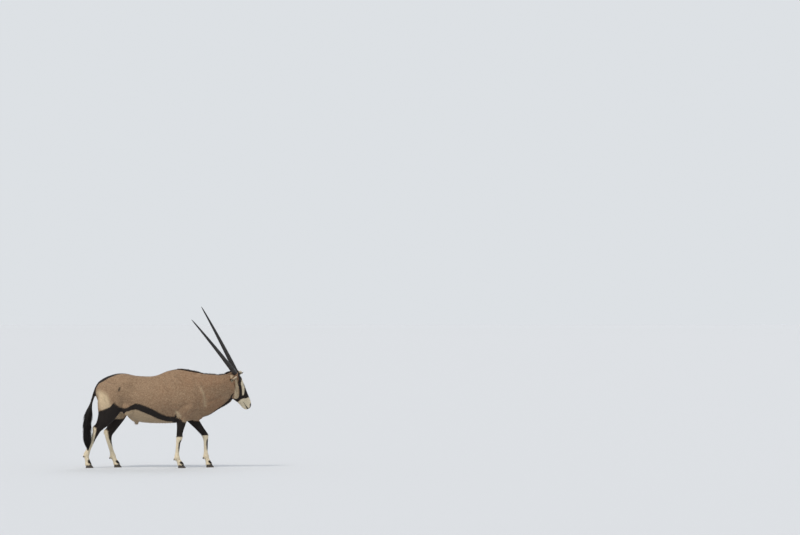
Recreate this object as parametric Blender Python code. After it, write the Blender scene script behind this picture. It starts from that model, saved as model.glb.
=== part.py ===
"""A life-size adult gemsbok bull, walking, in metres, +Z up and +X towards its head.

The flesh is lofted limb by limb from rows of named sizes, fused, smoothed and parted with thin cuts.
Horns, ears, eyes, hooves, the hair of the tail and the short mane are set on the places they grow from.
Sizes along the body are counted from the animal's middle line, and the last step centres the whole.
"""

import math
import random

import bmesh
import bpy
from mathutils import Matrix, Vector

# Driving sizes
WITHERS = 1.19
BELLY = 0.535
GAP = 0.0003
BODY_SHIFT = Vector((0.005, 0.113, 0.0))

# The head's place, and how far the nose hangs and the head tilts to its right
HEAD_ORIGIN = Vector((0.866, -0.032, 1.124))
HEAD_DROP = math.radians(68.6)
HEAD_TILT = math.radians(20.0)

# How far the root of a horn or ear is sunk in the head, and what its flesh and its cut have to spare
ROOT_SINK = 0.030
SEAT_SPARE = 0.012
CUT_SPARE = 0.0035
CUT_LENGTH = 0.16

# Horns: the seat's distance from the root, the flesh round it, the ringed share, and how far they bow
HORN_SEAT = 0.022
HORN_BASE_RADIUS = 0.029
PEDICLE_RADIUS = 0.031
HORN_SIDES = 10
HORN_RINGS = 12
HORN_RINGED = 0.56
HORN_BOW = 0.008
HORN_TAPER = 0.80
HORN_SWELL = 0.055
HORN_FLATTEN = 0.94

# Ears: the seat, the length, half the width at the root and what it swells by, and the wall
EAR_SEAT = 0.016
EAR_ROOT_RADIUS = 0.024
EAR_LENGTH = 0.185
EAR_ROOT_HALF = 0.0225
EAR_SWELL = 0.0215
EAR_WALL = 0.0045
EAR_BEND = 0.010
EAR_CLOSED = 0.15
EAR_ARC = 6

# Eyes, with the lid's thickness and the half sizes of the opening between the lids
EYE_RADIUS = 0.0205
LID = 0.0036
EYE_OPENING = (0.0190, 0.0155, 0.0125)

# The mouth's line: how deep and tall the cut is, its corner, and how far it runs forward, out and up
MOUTH_DEEP = 0.012
MOUTH_TALL = 0.0032
MOUTH_CORNER = Vector((0.342, 0.0, -0.081))
MOUTH_REACH = 0.108
MOUTH_HALF = 0.049
MOUTH_RISE = 0.018
MOUTH_STATIONS = 13

# Hooves: the toe's and heel's reach, half widths to the outside and to the cleft, and the claw's offset
HOOF_HEIGHT = 0.047
HOOF_TOE = 0.052
HOOF_HEEL = 0.040
HOOF_OUTER = 0.0185
HOOF_INNER = 0.0140
HOOF_OFFSET = 0.0165
HOOF_SIDES = 12

# The hair of the tail: half the brush's width, its solid middle as a share of that, and its locks
TAIL_HAIR_TOP = 0.865
TAIL_TIP_Z = 0.205
BRUSH_HALF = 0.056
BRUSH_NECK = 0.010
BRUSH_CORE = 0.48
TAIL_TIERS = 4
TAIL_LOCKS = 6
TIER_STEP = 0.120
TAIL_LOCK_LENGTH = 0.285
TAIL_LOCK_THICK = 0.015
LOCK_STEPS = 3
TAIL_CLEAR = 0.0012

# The mane: where its locks start and end along the crest, their spacing and their length
MANE_START = 0.15
MANE_END = 0.735
MANE_STEP = 0.037
MANE_LENGTH = 0.050
MANE_SINK = 0.014

# The legs are parted from the trunk only outside this distance from the middle
LEG_INNER = 0.048

# Fusing the flesh: grain, faces left over, and how strongly the head and lower legs keep theirs
FLESH_VOXEL = 0.006
FLESH_TRIANGLES = 4600
THIN_FACTOR = 0.0001
RING_SIDES = 28
SEED = 7

# Torso rows: x, top, bottom, half width, level of the widest point from 0 at the bottom to 1 at the top,
# and how square the section is above and below that point
TORSO_ROWS = (
    (-0.868, 0.965, 0.880, 0.030, 0.50, 2.0, 2.0),
    (-0.838, 1.024, 0.800, 0.085, 0.50, 2.0, 2.0),
    (-0.780, 1.070, 0.735, 0.135, 0.50, 2.0, 2.0),
    (-0.700, 1.108, 0.695, 0.172, 0.52, 1.9, 2.0),
    (-0.600, 1.134, 0.665, 0.200, 0.56, 1.9, 2.0),
    (-0.500, 1.134, 0.635, 0.212, 0.58, 1.9, 2.0),
    (-0.400, 1.112, 0.578, 0.218, 0.54, 1.9, 2.1),
    (-0.300, 1.102, 0.545, 0.232, 0.48, 1.95, 2.1),
    (-0.150, 1.106, BELLY, 0.248, 0.46, 1.9, 2.1),
    (0.000, 1.164, BELLY, 0.243, 0.45, 1.7, 2.1),
    (0.130, WITHERS, 0.540, 0.222, 0.44, 1.5, 2.0),
    (0.220, 1.180, 0.552, 0.202, 0.44, 1.5, 2.0),
    (0.320, 1.160, 0.575, 0.172, 0.44, 1.6, 2.0),
    (0.400, 1.140, 0.620, 0.130, 0.45, 1.7, 2.0),
    (0.440, 1.080, 0.700, 0.080, 0.50, 2.0, 2.0),
)

# Neck rows: x, y, z of the middle, half height, half width, and the tilt of the section in degrees
NECK_ROWS = (
    (0.200, 0.000, 0.865, 0.255, 0.140, 0.0),
    (0.320, 0.000, 0.872, 0.268, 0.146, 0.0),
    (0.430, 0.000, 0.882, 0.264, 0.132, 3.0),
    (0.540, 0.000, 0.907, 0.226, 0.110, 7.0),
    (0.648, 0.000, 0.936, 0.198, 0.096, 12.0),
    (0.720, 0.000, 0.966, 0.170, 0.088, 16.0),
    (0.775, -0.004, 0.976, 0.155, 0.080, 18.0),
    (0.812, -0.008, 0.985, 0.125, 0.066, 20.0),
)

# Head rows, along the bridge of the nose from the poll: x, top, bottom, half width, and as for the torso
HEAD_ROWS = (
    (-0.088, -0.078, -0.137, 0.028, 0.55, 2.0, 2.0),
    (-0.062, -0.042, -0.168, 0.054, 0.58, 2.0, 2.0),
    (-0.020, -0.014, -0.190, 0.066, 0.62, 2.2, 1.9),
    (0.030, -0.002, -0.204, 0.071, 0.66, 2.4, 1.8),
    (0.080, 0.003, -0.214, 0.071, 0.68, 2.6, 1.8),
    (0.130, 0.003, -0.220, 0.065, 0.66, 2.6, 1.8),
    (0.190, 0.001, -0.219, 0.056, 0.62, 2.6, 1.8),
    (0.250, -0.001, -0.203, 0.048, 0.58, 2.5, 1.9),
    (0.310, -0.002, -0.168, 0.043, 0.54, 2.4, 2.0),
    (0.360, -0.004, -0.143, 0.044, 0.50, 2.3, 2.1),
    (0.400, -0.009, -0.130, 0.046, 0.50, 2.2, 2.2),
    (0.432, -0.022, -0.114, 0.041, 0.50, 2.1, 2.1),
    (0.448, -0.042, -0.094, 0.026, 0.50, 2.0, 2.0),
)

# Leg rows from the body down: x, y, z of the middle, half length fore and aft, half width
HIND_RIGHT_ROWS = (
    (-0.600, -0.110, 0.980, 0.150, 0.075),
    (-0.640, -0.126, 0.880, 0.172, 0.084),
    (-0.676, -0.136, 0.780, 0.163, 0.084),
    (-0.700, -0.136, 0.700, 0.140, 0.076),
    (-0.725, -0.130, 0.630, 0.112, 0.064),
    (-0.765, -0.122, 0.560, 0.083, 0.052),
    (-0.805, -0.114, 0.505, 0.060, 0.042),
    (-0.838, -0.107, 0.462, 0.049, 0.037),
    (-0.858, -0.101, 0.415, 0.040, 0.033),
    (-0.880, -0.096, 0.365, 0.031, 0.027),
    (-0.912, -0.090, 0.290, 0.026, 0.023),
    (-0.945, -0.086, 0.215, 0.026, 0.023),
    (-0.966, -0.084, 0.165, 0.035, 0.030),
    (-0.966, -0.084, 0.128, 0.028, 0.028),
    (-0.956, -0.084, 0.088, 0.030, 0.030),
    (-0.946, -0.084, 0.044, 0.038, 0.036),
    (-0.944, -0.084, 0.030, 0.038, 0.036),
)
HIND_LEFT_ROWS = (
    (-0.590, 0.110, 0.980, 0.150, 0.075),
    (-0.590, 0.126, 0.880, 0.170, 0.084),
    (-0.588, 0.136, 0.780, 0.158, 0.084),
    (-0.594, 0.136, 0.700, 0.134, 0.075),
    (-0.612, 0.130, 0.620, 0.105, 0.063),
    (-0.642, 0.122, 0.545, 0.080, 0.052),
    (-0.680, 0.115, 0.470, 0.061, 0.042),
    (-0.710, 0.108, 0.412, 0.050, 0.037),
    (-0.714, 0.104, 0.362, 0.040, 0.032),
    (-0.706, 0.100, 0.310, 0.031, 0.026),
    (-0.690, 0.096, 0.245, 0.026, 0.023),
    (-0.672, 0.093, 0.182, 0.026, 0.023),
    (-0.661, 0.092, 0.140, 0.035, 0.030),
    (-0.647, 0.092, 0.106, 0.028, 0.028),
    (-0.631, 0.092, 0.074, 0.030, 0.030),
    (-0.617, 0.092, 0.044, 0.038, 0.036),
    (-0.613, 0.092, 0.030, 0.038, 0.036),
)
FORE_RIGHT_ROWS = (
    (0.215, -0.118, 0.700, 0.110, 0.064),
    (0.190, -0.124, 0.630, 0.090, 0.056),
    (0.176, -0.123, 0.570, 0.067, 0.048),
    (0.167, -0.120, 0.510, 0.053, 0.042),
    (0.157, -0.116, 0.450, 0.042, 0.035),
    (0.151, -0.113, 0.405, 0.037, 0.032),
    (0.149, -0.111, 0.370, 0.039, 0.035),
    (0.142, -0.109, 0.335, 0.033, 0.030),
    (0.134, -0.107, 0.300, 0.0265, 0.0255),
    (0.127, -0.105, 0.230, 0.0240, 0.0225),
    (0.120, -0.104, 0.168, 0.0245, 0.0230),
    (0.120, -0.104, 0.130, 0.033, 0.030),
    (0.133, -0.104, 0.098, 0.027, 0.027),
    (0.149, -0.104, 0.069, 0.030, 0.030),
    (0.162, -0.104, 0.044, 0.038, 0.036),
    (0.166, -0.104, 0.030, 0.038, 0.036),
)
FORE_LEFT_ROWS = (
    (0.255, 0.115, 0.700, 0.110, 0.064),
    (0.272, 0.124, 0.630, 0.088, 0.056),
    (0.306, 0.122, 0.570, 0.067, 0.048),
    (0.350, 0.118, 0.515, 0.054, 0.042),
    (0.394, 0.113, 0.460, 0.044, 0.035),
    (0.428, 0.109, 0.418, 0.039, 0.032),
    (0.448, 0.106, 0.383, 0.040, 0.035),
    (0.455, 0.104, 0.348, 0.033, 0.030),
    (0.457, 0.102, 0.310, 0.0265, 0.0255),
    (0.457, 0.100, 0.240, 0.0240, 0.0225),
    (0.457, 0.099, 0.178, 0.0245, 0.0230),
    (0.460, 0.099, 0.140, 0.033, 0.030),
    (0.472, 0.099, 0.105, 0.027, 0.027),
    (0.484, 0.099, 0.073, 0.030, 0.030),
    (0.493, 0.099, 0.044, 0.038, 0.036),
    (0.496, 0.099, 0.030, 0.038, 0.036),
)

# The tail's bony part, from the rump down: x, y, z of the middle and its radius
TAIL_ROWS = (
    (-0.790, 0.000, 1.024, 0.034),
    (-0.834, -0.002, 0.984, 0.029),
    (-0.864, -0.008, 0.926, 0.024),
    (-0.888, -0.020, 0.858, 0.021),
    (-0.912, -0.045, 0.780, 0.018),
    (-0.934, -0.078, 0.690, 0.016),
    (-0.948, -0.112, 0.600, 0.013),
    (-0.955, -0.140, 0.520, 0.010),
    (-0.957, -0.160, 0.440, 0.006),
)
# How finely the tail's rows are divided, and the number of the smooth row where it leaves the rump
TAIL_STEPS = 3
TAIL_SEAT = 4

COLOURS = {
    "hide": (0.52, 0.40, 0.29),
    "dark_hide": (0.05, 0.04, 0.035),
    "pale_hide": (0.78, 0.71, 0.60),
    "horn": (0.06, 0.055, 0.05),
    "hoof": (0.07, 0.06, 0.055),
    "eye": (0.03, 0.02, 0.015),
    "hair": (0.02, 0.018, 0.018),
}
ROUGHNESS = {"horn": 0.45, "hoof": 0.5, "eye": 0.08}


def material(name):
    """The finish of that name, made once."""
    found = bpy.data.materials.get(name)
    if found:
        return found
    made = bpy.data.materials.new(name)
    made.use_nodes = True
    shader = made.node_tree.nodes["Principled BSDF"]
    shader.inputs["Base Color"].default_value = (*COLOURS[name], 1.0)
    shader.inputs["Roughness"].default_value = ROUGHNESS.get(name, 0.8)
    shader.inputs["Metallic"].default_value = 0.0
    return made


def clear_scene():
    for thing in list(bpy.data.objects):
        bpy.data.objects.remove(thing)


def object_of(bm, name):
    """A scene object that holds the bmesh, which is freed."""
    mesh = bpy.data.meshes.new(name)
    bm.to_mesh(mesh)
    bm.free()
    made = bpy.data.objects.new(name, mesh)
    bpy.context.scene.collection.objects.link(made)
    return made


def baked(thing):
    """Replaces the object's mesh with its evaluated one and drops the modifiers."""
    graph = bpy.context.evaluated_depsgraph_get()
    mesh = bpy.data.meshes.new_from_object(thing.evaluated_get(graph))
    thing.modifiers.clear()
    thing.data = mesh
    return thing


def catmull(rows, steps):
    """The rows with steps values between each pair, on a smooth curve through them."""
    out = []
    for i in range(len(rows) - 1):
        before = rows[max(i - 1, 0)]
        start, end = rows[i], rows[i + 1]
        after = rows[min(i + 2, len(rows) - 1)]
        for k in range(steps):
            t = k / steps
            out.append(
                tuple(
                    0.5
                    * (
                        2 * b
                        + (c - a) * t
                        + (2 * a - 5 * b + 4 * c - d) * t**2
                        + (3 * b - a - 3 * c + d) * t**3
                    )
                    for a, b, c, d in zip(before, start, end, after)
                )
            )
    out.append(tuple(rows[-1]))
    return out


def squared(value, power):
    """A sine or cosine bent so that the section is an ellipse at power 2 and squarer above it."""
    return math.copysign(abs(value) ** (2.0 / power), value)


def skin_rings(bm, rings):
    """Faces from ring to ring, and a cap at each end."""
    for lower, upper in zip(rings, rings[1:]):
        count = len(lower)
        for k in range(count):
            j = (k + 1) % count
            bm.faces.new((lower[k], lower[j], upper[j], upper[k]))
    bm.faces.new(list(reversed(rings[0])))
    bm.faces.new(rings[-1])
    bmesh.ops.recalc_face_normals(bm, faces=bm.faces[:])


def section_loft(name, rows, steps=4, frame=None):
    """A closed form through upright sections: x, top, bottom, half width, widest level, squareness."""
    bm = bmesh.new()
    rings = []
    for x, top, bottom, half, level, above, below in catmull(rows, steps):
        middle = bottom + (top - bottom) * level
        ring = []
        for k in range(RING_SIDES):
            angle = 2 * math.pi * k / RING_SIDES
            power = above if math.sin(angle) > 0 else below
            side = squared(math.cos(angle), power) * half
            rise = squared(math.sin(angle), power)
            rise *= (top - middle) if rise > 0 else (middle - bottom)
            ring.append(bm.verts.new((x, side, middle + rise)))
        rings.append(ring)
    skin_rings(bm, rings)
    if frame is not None:
        bmesh.ops.transform(bm, matrix=frame, verts=bm.verts[:])
    return object_of(bm, name)


def path_loft(name, rows, steps=4, sides=RING_SIDES, tilt=False):
    """A closed form along a path: x, y, z, half size up or fore, half size across and, if tilt, degrees."""
    dense = catmull(rows, steps)
    bm = bmesh.new()
    rings = []
    for i, row in enumerate(dense):
        centre = Vector(row[:3])
        ahead = Vector(dense[min(i + 1, len(dense) - 1)][:3])
        behind = Vector(dense[max(i - 1, 0)][:3])
        along = (ahead - behind).normalized()
        across = Vector((0, 1, 0)) - along * along.y
        across.normalize()
        fore = across.cross(along)
        if tilt:
            turn = Matrix.Rotation(math.radians(row[5]), 3, along)
            across, fore = turn @ across, turn @ fore
        ring = []
        for k in range(sides):
            angle = 2 * math.pi * k / sides
            offset = across * math.cos(angle) * row[4] + fore * math.sin(angle) * row[3]
            ring.append(bm.verts.new(centre + offset))
        rings.append(ring)
    skin_rings(bm, rings)
    return object_of(bm, name)


def ball(name, centre, radii, turn=None, frame=None, detail=3):
    """An ellipsoid, turned about its own middle."""
    bm = bmesh.new()
    bmesh.ops.create_icosphere(bm, subdivisions=detail, radius=1.0)
    shape = Matrix.Diagonal((*radii, 1.0))
    place = Matrix.Translation(Vector(centre)) @ (turn or Matrix.Identity(4)) @ shape
    if frame is not None:
        place = frame @ place
    bmesh.ops.transform(bm, matrix=place, verts=bm.verts[:])
    return object_of(bm, name)


def pitch(degrees):
    return Matrix.Rotation(math.radians(degrees), 4, "Y")


def head_frame():
    """Local x runs down the bridge of the nose, y to the head's left and z out of the forehead."""
    tilt = Matrix.Rotation(HEAD_TILT, 4, "X")
    drop = Matrix.Rotation(HEAD_DROP, 4, "Y")
    return Matrix.Translation(HEAD_ORIGIN) @ tilt @ drop


# The head's own places, in its frame
EYE_PLACE = Vector((0.086, 0.0605, -0.036))
EYE_WAY = Vector((0.15, 1.0, 0.22)).normalized()
HORN_ROOT = Vector((-0.012, 0.036, -0.032))
# Each horn's length, and how far it leans back from the line of the face and out to its side
HORNS = {
    "left": (0.920, math.radians(6.3), math.radians(9.3)),
    "right": (0.950, math.radians(12.7), math.radians(9.2)),
}
EAR_ROOT = Vector((0.002, 0.060, -0.052))
EAR_AIM = {
    "left": Vector((0.074, 0.166, 0.017)).normalized(),
    "right": Vector((-0.030, -0.182, -0.015)).normalized(),
}
EAR_FRONT = Vector((0.82, 0.0, 0.45))
HEAD_BALLS = (
    ("brow", (0.076, 0.050, -0.022), (0.040, 0.024, 0.022)),
    ("cheek", (0.125, 0.034, -0.135), (0.085, 0.030, 0.066)),
    ("upper_lip", (0.402, 0.024, -0.048), (0.042, 0.022, 0.028)),
    ("lower_lip", (0.396, 0.017, -0.098), (0.038, 0.020, 0.022)),
)
SIDES = {"left": 1.0, "right": -1.0}


def sided(point, side):
    """The point, mirrored to the head's or body's right side where side is right."""
    return Vector((point.x, point.y * SIDES[side], point.z))


def horn_direction(side):
    """The way a horn grows from its root, in the head's frame."""
    back, spread = HORNS[side][1:]
    along = math.cos(spread)
    return Vector((-along * math.cos(back), math.sin(spread) * SIDES[side], -along * math.sin(back)))


def seats(side):
    """The root, direction, seat distance and flesh radius of the horn and of the ear on one side."""
    return (
        (sided(HORN_ROOT, side), horn_direction(side), HORN_SEAT, PEDICLE_RADIUS),
        (sided(EAR_ROOT, side), EAR_AIM[side], EAR_SEAT, EAR_ROOT_RADIUS),
    )


def rod(name, start, direction, length, radius, frame, sides=24):
    """A plain cylinder from start along direction, both in the frame."""
    bm = bmesh.new()
    bmesh.ops.create_cone(
        bm, cap_ends=True, segments=sides, radius1=radius, radius2=radius, depth=length
    )
    turn = direction.to_track_quat("Z", "Y").to_matrix().to_4x4()
    place = frame @ Matrix.Translation(start + direction * length / 2) @ turn
    bmesh.ops.transform(bm, matrix=place, verts=bm.verts[:])
    return object_of(bm, name)


def head_pieces():
    frame = head_frame()
    pieces = [section_loft("skull", HEAD_ROWS, frame=frame)]
    for side in SIDES:
        for name, place, radii in HEAD_BALLS:
            pieces.append(ball(name, sided(Vector(place), side), radii, frame=frame))
        for root, way, seat, radius in seats(side):
            start = root - way * ROOT_SINK
            pieces.append(rod("root", start, way, ROOT_SINK + seat + SEAT_SPARE, radius, frame))
    return pieces


def body_pieces():
    tail_root = tuple((x, y, z, r, r) for x, y, z, r in TAIL_ROWS[:4])
    pieces = [
        section_loft("barrel", TORSO_ROWS),
        path_loft("neck_form", NECK_ROWS, tilt=True),
        path_loft("hind_right", HIND_RIGHT_ROWS),
        path_loft("hind_left", HIND_LEFT_ROWS),
        path_loft("fore_right", FORE_RIGHT_ROWS),
        path_loft("fore_left", FORE_LEFT_ROWS),
        path_loft("tail_root", tail_root),
        ball("brisket", (0.360, 0.000, 0.655), (0.085, 0.075, 0.100), pitch(35)),
        ball("sheath", (-0.418, 0.000, 0.592), (0.085, 0.030, 0.030), pitch(36)),
        ball("sheath_tip", (-0.366, 0.000, 0.548), (0.026, 0.018, 0.020)),
        ball("scrotum", (-0.600, 0.000, 0.640), (0.036, 0.040, 0.062)),
        ball("hock_right", (-0.872, -0.108, 0.486), (0.021, 0.017, 0.040), pitch(28)),
        ball("hock_left", (-0.752, 0.109, 0.428), (0.021, 0.017, 0.040), pitch(12)),
    ]
    for side, way in SIDES.items():
        lead = 0.020 if side == "left" else 0.0
        pieces += [
            ball("blade", (0.180 + lead, way * 0.118, 0.900), (0.095, 0.060, 0.215), pitch(-30)),
            ball("upper_arm", (0.195 + lead * 2, way * 0.140, 0.705), (0.150, 0.060, 0.110), pitch(-24)),
            ball("shoulder_point", (0.330 + lead, way * 0.098, 0.750), (0.062, 0.055, 0.085)),
            ball("elbow", (0.112 + lead * 5, way * 0.130, 0.615), (0.036, 0.030, 0.050), pitch(15)),
            ball("hip", (-0.515, way * 0.150, 0.995), (0.090, 0.045, 0.060)),
            ball("flank", (-0.455, way * 0.150, 0.730), (0.085, 0.050, 0.110), pitch(25)),
        ]
    return pieces


def dewclaws(rows, fetlock):
    """Two small horny knobs behind a fetlock, at the row of that number."""
    x, y, z, fore, across = rows[fetlock]
    return [
        ball("dewclaw", (x - fore - 0.002, y + way * 0.016, z - 0.016), (0.012, 0.009, 0.014), pitch(20))
        for way in (-1, 1)
    ]


def fused(pieces, voxel):
    """One closed skin round all the pieces, which are removed."""
    whole = bmesh.new()
    for piece in pieces:
        whole.from_mesh(piece.data)
        bpy.data.objects.remove(piece)
    thing = object_of(whole, "flesh")
    remesh = thing.modifiers.new("fuse", "REMESH")
    remesh.mode = "VOXEL"
    remesh.voxel_size = voxel
    return baked(thing)


def smoothed(thing, turns, weight):
    """Relaxes the surface, as much as weight says for each point."""
    group = thing.vertex_groups.new(name="relax")
    for vertex in thing.data.vertices:
        amount = weight(vertex.co)
        if amount > 0:
            group.add([vertex.index], amount, "REPLACE")
    relax = thing.modifiers.new("relax", "SMOOTH")
    relax.factor = 0.5
    relax.iterations = turns
    relax.vertex_group = group.name
    baked(thing)
    thing.vertex_groups.clear()
    return thing


def ramp(value, low, high):
    """0 below low, 1 above high and smooth between."""
    t = min(max((value - low) / (high - low), 0.0), 1.0)
    return t * t * (3 - 2 * t)


def trunk_weight(point):
    """1 on the trunk and neck, down to 0 on the lower legs and the face."""
    return ramp(point.z, 0.42, 0.66) * (1 - ramp(point.x, 0.70, 0.80))


def thinned(thing, triangles):
    """Fewer triangles, with more of them kept on the head and lower legs."""
    group = thing.vertex_groups.new(name="keep")
    inverse = head_frame().inverted()
    for vertex in thing.data.vertices:
        local = inverse @ vertex.co
        on_head = ramp(local.x, -0.05, 0.05) * ramp(vertex.co.x, 0.74, 0.80)
        on_leg = 1 - ramp(vertex.co.z, 0.10, 0.55)
        group.add([vertex.index], 1 - max(0.8 * on_head, 0.5 * on_leg), "REPLACE")
    thing.data.calc_loop_triangles()
    modifier = thing.modifiers.new("thin", "DECIMATE")
    modifier.ratio = triangles / len(thing.data.loop_triangles)
    modifier.vertex_group = group.name
    modifier.vertex_group_factor = THIN_FACTOR
    modifier.use_collapse_triangulate = True
    baked(thing)
    thing.vertex_groups.clear()
    return thing


def knife(point, normal, fore, across, depth):
    """A block that starts at a cutting plane and runs depth along its normal.

    Its sides reach fore to either way, and from the first to the second value of across along Y.
    """
    side = (Vector((0, 1, 0)) - normal * normal.y).normalized()
    front = side.cross(normal)
    low, high = across
    bm = bmesh.new()
    bmesh.ops.create_cube(bm, size=1.0)
    bmesh.ops.scale(bm, vec=(2 * fore, high - low, depth), verts=bm.verts[:])
    bmesh.ops.translate(bm, vec=(0, (low + high) / 2, depth / 2), verts=bm.verts[:])
    turn = Matrix((front, side, normal)).transposed().to_4x4()
    bmesh.ops.transform(bm, matrix=Matrix.Translation(point) @ turn, verts=bm.verts[:])
    return object_of(bm, "knife")


def part_off(thing, name, point, normal, fore, across, depth=0.8):
    """Cuts off what lies beyond a plane as an object of its own, with GAP between the two flat faces."""
    normal = normal.normalized()
    off = bpy.data.objects.new(name, thing.data.copy())
    bpy.context.scene.collection.objects.link(off)
    carved(off, knife(point, normal, fore, across, depth), "INTERSECT")
    carved(thing, knife(point - normal * GAP, normal, fore + GAP, (across[0] - GAP, across[1] + GAP), depth))
    return off


def lock(bm, spine, widths, thick, flat):
    """A tapered flat lock of hair along the spine's points, with four sides and a point."""
    rings = []
    for i, centre in enumerate(spine[:-1]):
        along = (spine[i + 1] - centre).normalized()
        across = along.cross(flat).normalized()
        out = across.cross(along).normalized()
        half, deep = widths[i] / 2, thick[i] / 2
        rings.append(
            [
                bm.verts.new(centre + across * half),
                bm.verts.new(centre + out * deep),
                bm.verts.new(centre - across * half),
                bm.verts.new(centre - out * deep),
            ]
        )
    tip = bm.verts.new(spine[-1])
    for lower, upper in zip(rings, rings[1:]):
        for k in range(4):
            j = (k + 1) % 4
            bm.faces.new((lower[k], lower[j], upper[j], upper[k]))
    for k in range(4):
        bm.faces.new((rings[-1][k], rings[-1][(k + 1) % 4], tip))
    bm.faces.new(list(reversed(rings[0])))
    bmesh.ops.recalc_face_normals(bm, faces=bm.faces[:])


def grown(thing, hair):
    """The object with its hair fused on, one closed body."""
    holder = bpy.data.collections.new("hair")
    bpy.context.scene.collection.children.link(holder)
    for piece in hair:
        bpy.context.scene.collection.objects.unlink(piece)
        holder.objects.link(piece)
    join = thing.modifiers.new("grow", "BOOLEAN")
    join.operation = "UNION"
    join.operand_type = "COLLECTION"
    join.collection = holder
    join.solver = "MANIFOLD"
    baked(thing)
    for piece in hair:
        bpy.data.objects.remove(piece)
    bpy.data.collections.remove(holder)
    return largest_shell(thing)


def largest_shell(thing):
    """Keeps the largest closed surface and drops sealed hollows and scraps."""
    bm = bmesh.new()
    bm.from_mesh(thing.data)
    left, best = set(bm.verts), set()
    while left:
        seed = left.pop()
        found, stack = {seed}, [seed]
        while stack:
            for edge in stack.pop().link_edges:
                for vertex in edge.verts:
                    if vertex not in found:
                        found.add(vertex)
                        stack.append(vertex)
        left -= found
        if len(found) > len(best):
            best = found
    bmesh.ops.delete(bm, geom=[v for v in bm.verts if v not in best], context="VERTS")
    bmesh.ops.triangulate(bm, faces=bm.faces[:])
    bm.to_mesh(thing.data)
    bm.free()
    return thing


def carved(thing, cutter, operation="DIFFERENCE", solver="EXACT"):
    """One Boolean with a single object, which is then removed."""
    modifier = thing.modifiers.new("carve", "BOOLEAN")
    modifier.operation = operation
    modifier.object = cutter
    modifier.solver = solver
    baked(thing)
    bpy.data.objects.remove(cutter)
    return thing


def finished(thing, name, finish):
    """Names the object, gives it its finish and shades it."""
    thing.name = name
    thing.data.name = name
    thing.data.materials.clear()
    thing.data.materials.append(material(finish))
    thing.data.shade_smooth()
    return thing


def eye_ball(name, side, radius):
    """A ball in the eye's place, with its poles at the front and back."""
    place = Matrix.Translation(sided(EYE_PLACE, side))
    bm = bmesh.new()
    bmesh.ops.create_uvsphere(bm, u_segments=14, v_segments=9, radius=radius)
    turn = sided(EYE_WAY, side).to_track_quat("Z", "Y").to_matrix().to_4x4()
    bmesh.ops.transform(bm, matrix=head_frame() @ place @ turn, verts=bm.verts[:])
    return object_of(bm, name)


def lidded(head, side):
    """Sinks a socket for the eye and leaves a lid above and below an almond opening."""
    frame = head_frame()
    place = sided(EYE_PLACE, side)
    lid = EYE_RADIUS + LID
    carved(head, ball("lid", place, (lid * 1.16, lid, lid), frame=frame), "UNION")
    carved(head, eye_ball("socket", side, EYE_RADIUS + GAP))
    opening = place + sided(Vector((0.002, 0.018, 0.002)), side)
    almond = ball("opening", opening, EYE_OPENING, pitch(24), frame, detail=2)
    return carved(head, almond)


def nostril(head, side):
    """A slanting hollow at the corner of the nose pad."""
    place = sided(Vector((0.436, 0.024, -0.046)), side)
    turn = Matrix.Rotation(math.radians(35 * SIDES[side]), 4, "X") @ pitch(35)
    return carved(head, ball("nostril", place, (0.016, 0.0065, 0.0075), turn, head_frame(), detail=2))


def mouth(head):
    """The line of the mouth, a thin wedge that follows the muzzle from one corner to the other."""
    bm = bmesh.new()
    up = Vector((0, 0, MOUTH_TALL))
    rings = []
    for k in range(MOUTH_STATIONS):
        sweep = math.pi * (k / (MOUTH_STATIONS - 1) - 0.5)
        reach = math.cos(sweep) ** 0.75
        run = Vector((MOUTH_REACH * reach, MOUTH_HALF * math.sin(sweep), MOUTH_RISE * reach))
        inward = Vector((-reach - 0.05, -math.sin(sweep), 0)).normalized() * MOUTH_DEEP
        edge = MOUTH_CORNER + run
        rings.append([bm.verts.new(p) for p in (edge + inward, edge - inward + up, edge - inward - up)])
    skin_rings(bm, rings)
    bmesh.ops.transform(bm, matrix=head_frame(), verts=bm.verts[:])
    return carved(head, object_of(bm, "mouth_line"))


def horn(side):
    """A long straight horn that bows a little, ringed over its lower part and smooth above."""
    frame = head_frame()
    way = horn_direction(side)
    root = sided(HORN_ROOT, side)
    forward = (Vector((0, 0, 1)) - way * way.z).normalized()
    across = way.cross(forward)
    length = HORNS[side][0]
    start = HORN_SEAT + GAP / 2
    swells = 2 * HORN_RINGS
    marks = [HORN_RINGED * i / swells for i in range(swells + 1)]
    marks += [HORN_RINGED + (1 - HORN_RINGED) * t for t in (0.14, 0.3, 0.48, 0.66, 0.82, 0.93)]
    bm = bmesh.new()
    rings = []
    for i, t in enumerate(marks):
        radius = HORN_BASE_RADIUS * (1 - HORN_TAPER * t**1.25)
        if 0 < i <= swells:
            swell = HORN_SWELL * (1 - 0.6 * t / HORN_RINGED)
            radius *= 1 + (swell if i % 2 else -swell * 0.4)
        middle = root + way * (start + (length - start) * t) + forward * HORN_BOW * 4 * t * (1 - t)
        ring = []
        for k in range(HORN_SIDES):
            angle = 2 * math.pi * k / HORN_SIDES
            side_way = across * math.cos(angle) * HORN_FLATTEN + forward * math.sin(angle)
            ring.append(bm.verts.new(frame @ (middle + side_way * radius)))
        rings.append(ring)
    skin_rings(bm, rings)
    bmesh.ops.pointmerge(bm, verts=rings[-1], merge_co=frame @ (root + way * length))
    return object_of(bm, "horn")


def ear_half(t):
    """Half the ear's width, from its root at 0 through its widest part to its tip at 1."""
    leaf = EAR_ROOT_HALF + EAR_SWELL * math.sin(math.pi * min(t / 0.9, 1.0) ** 0.85)
    return leaf * (1 - 0.78 * max(t - 0.55, 0) / 0.45)


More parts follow.
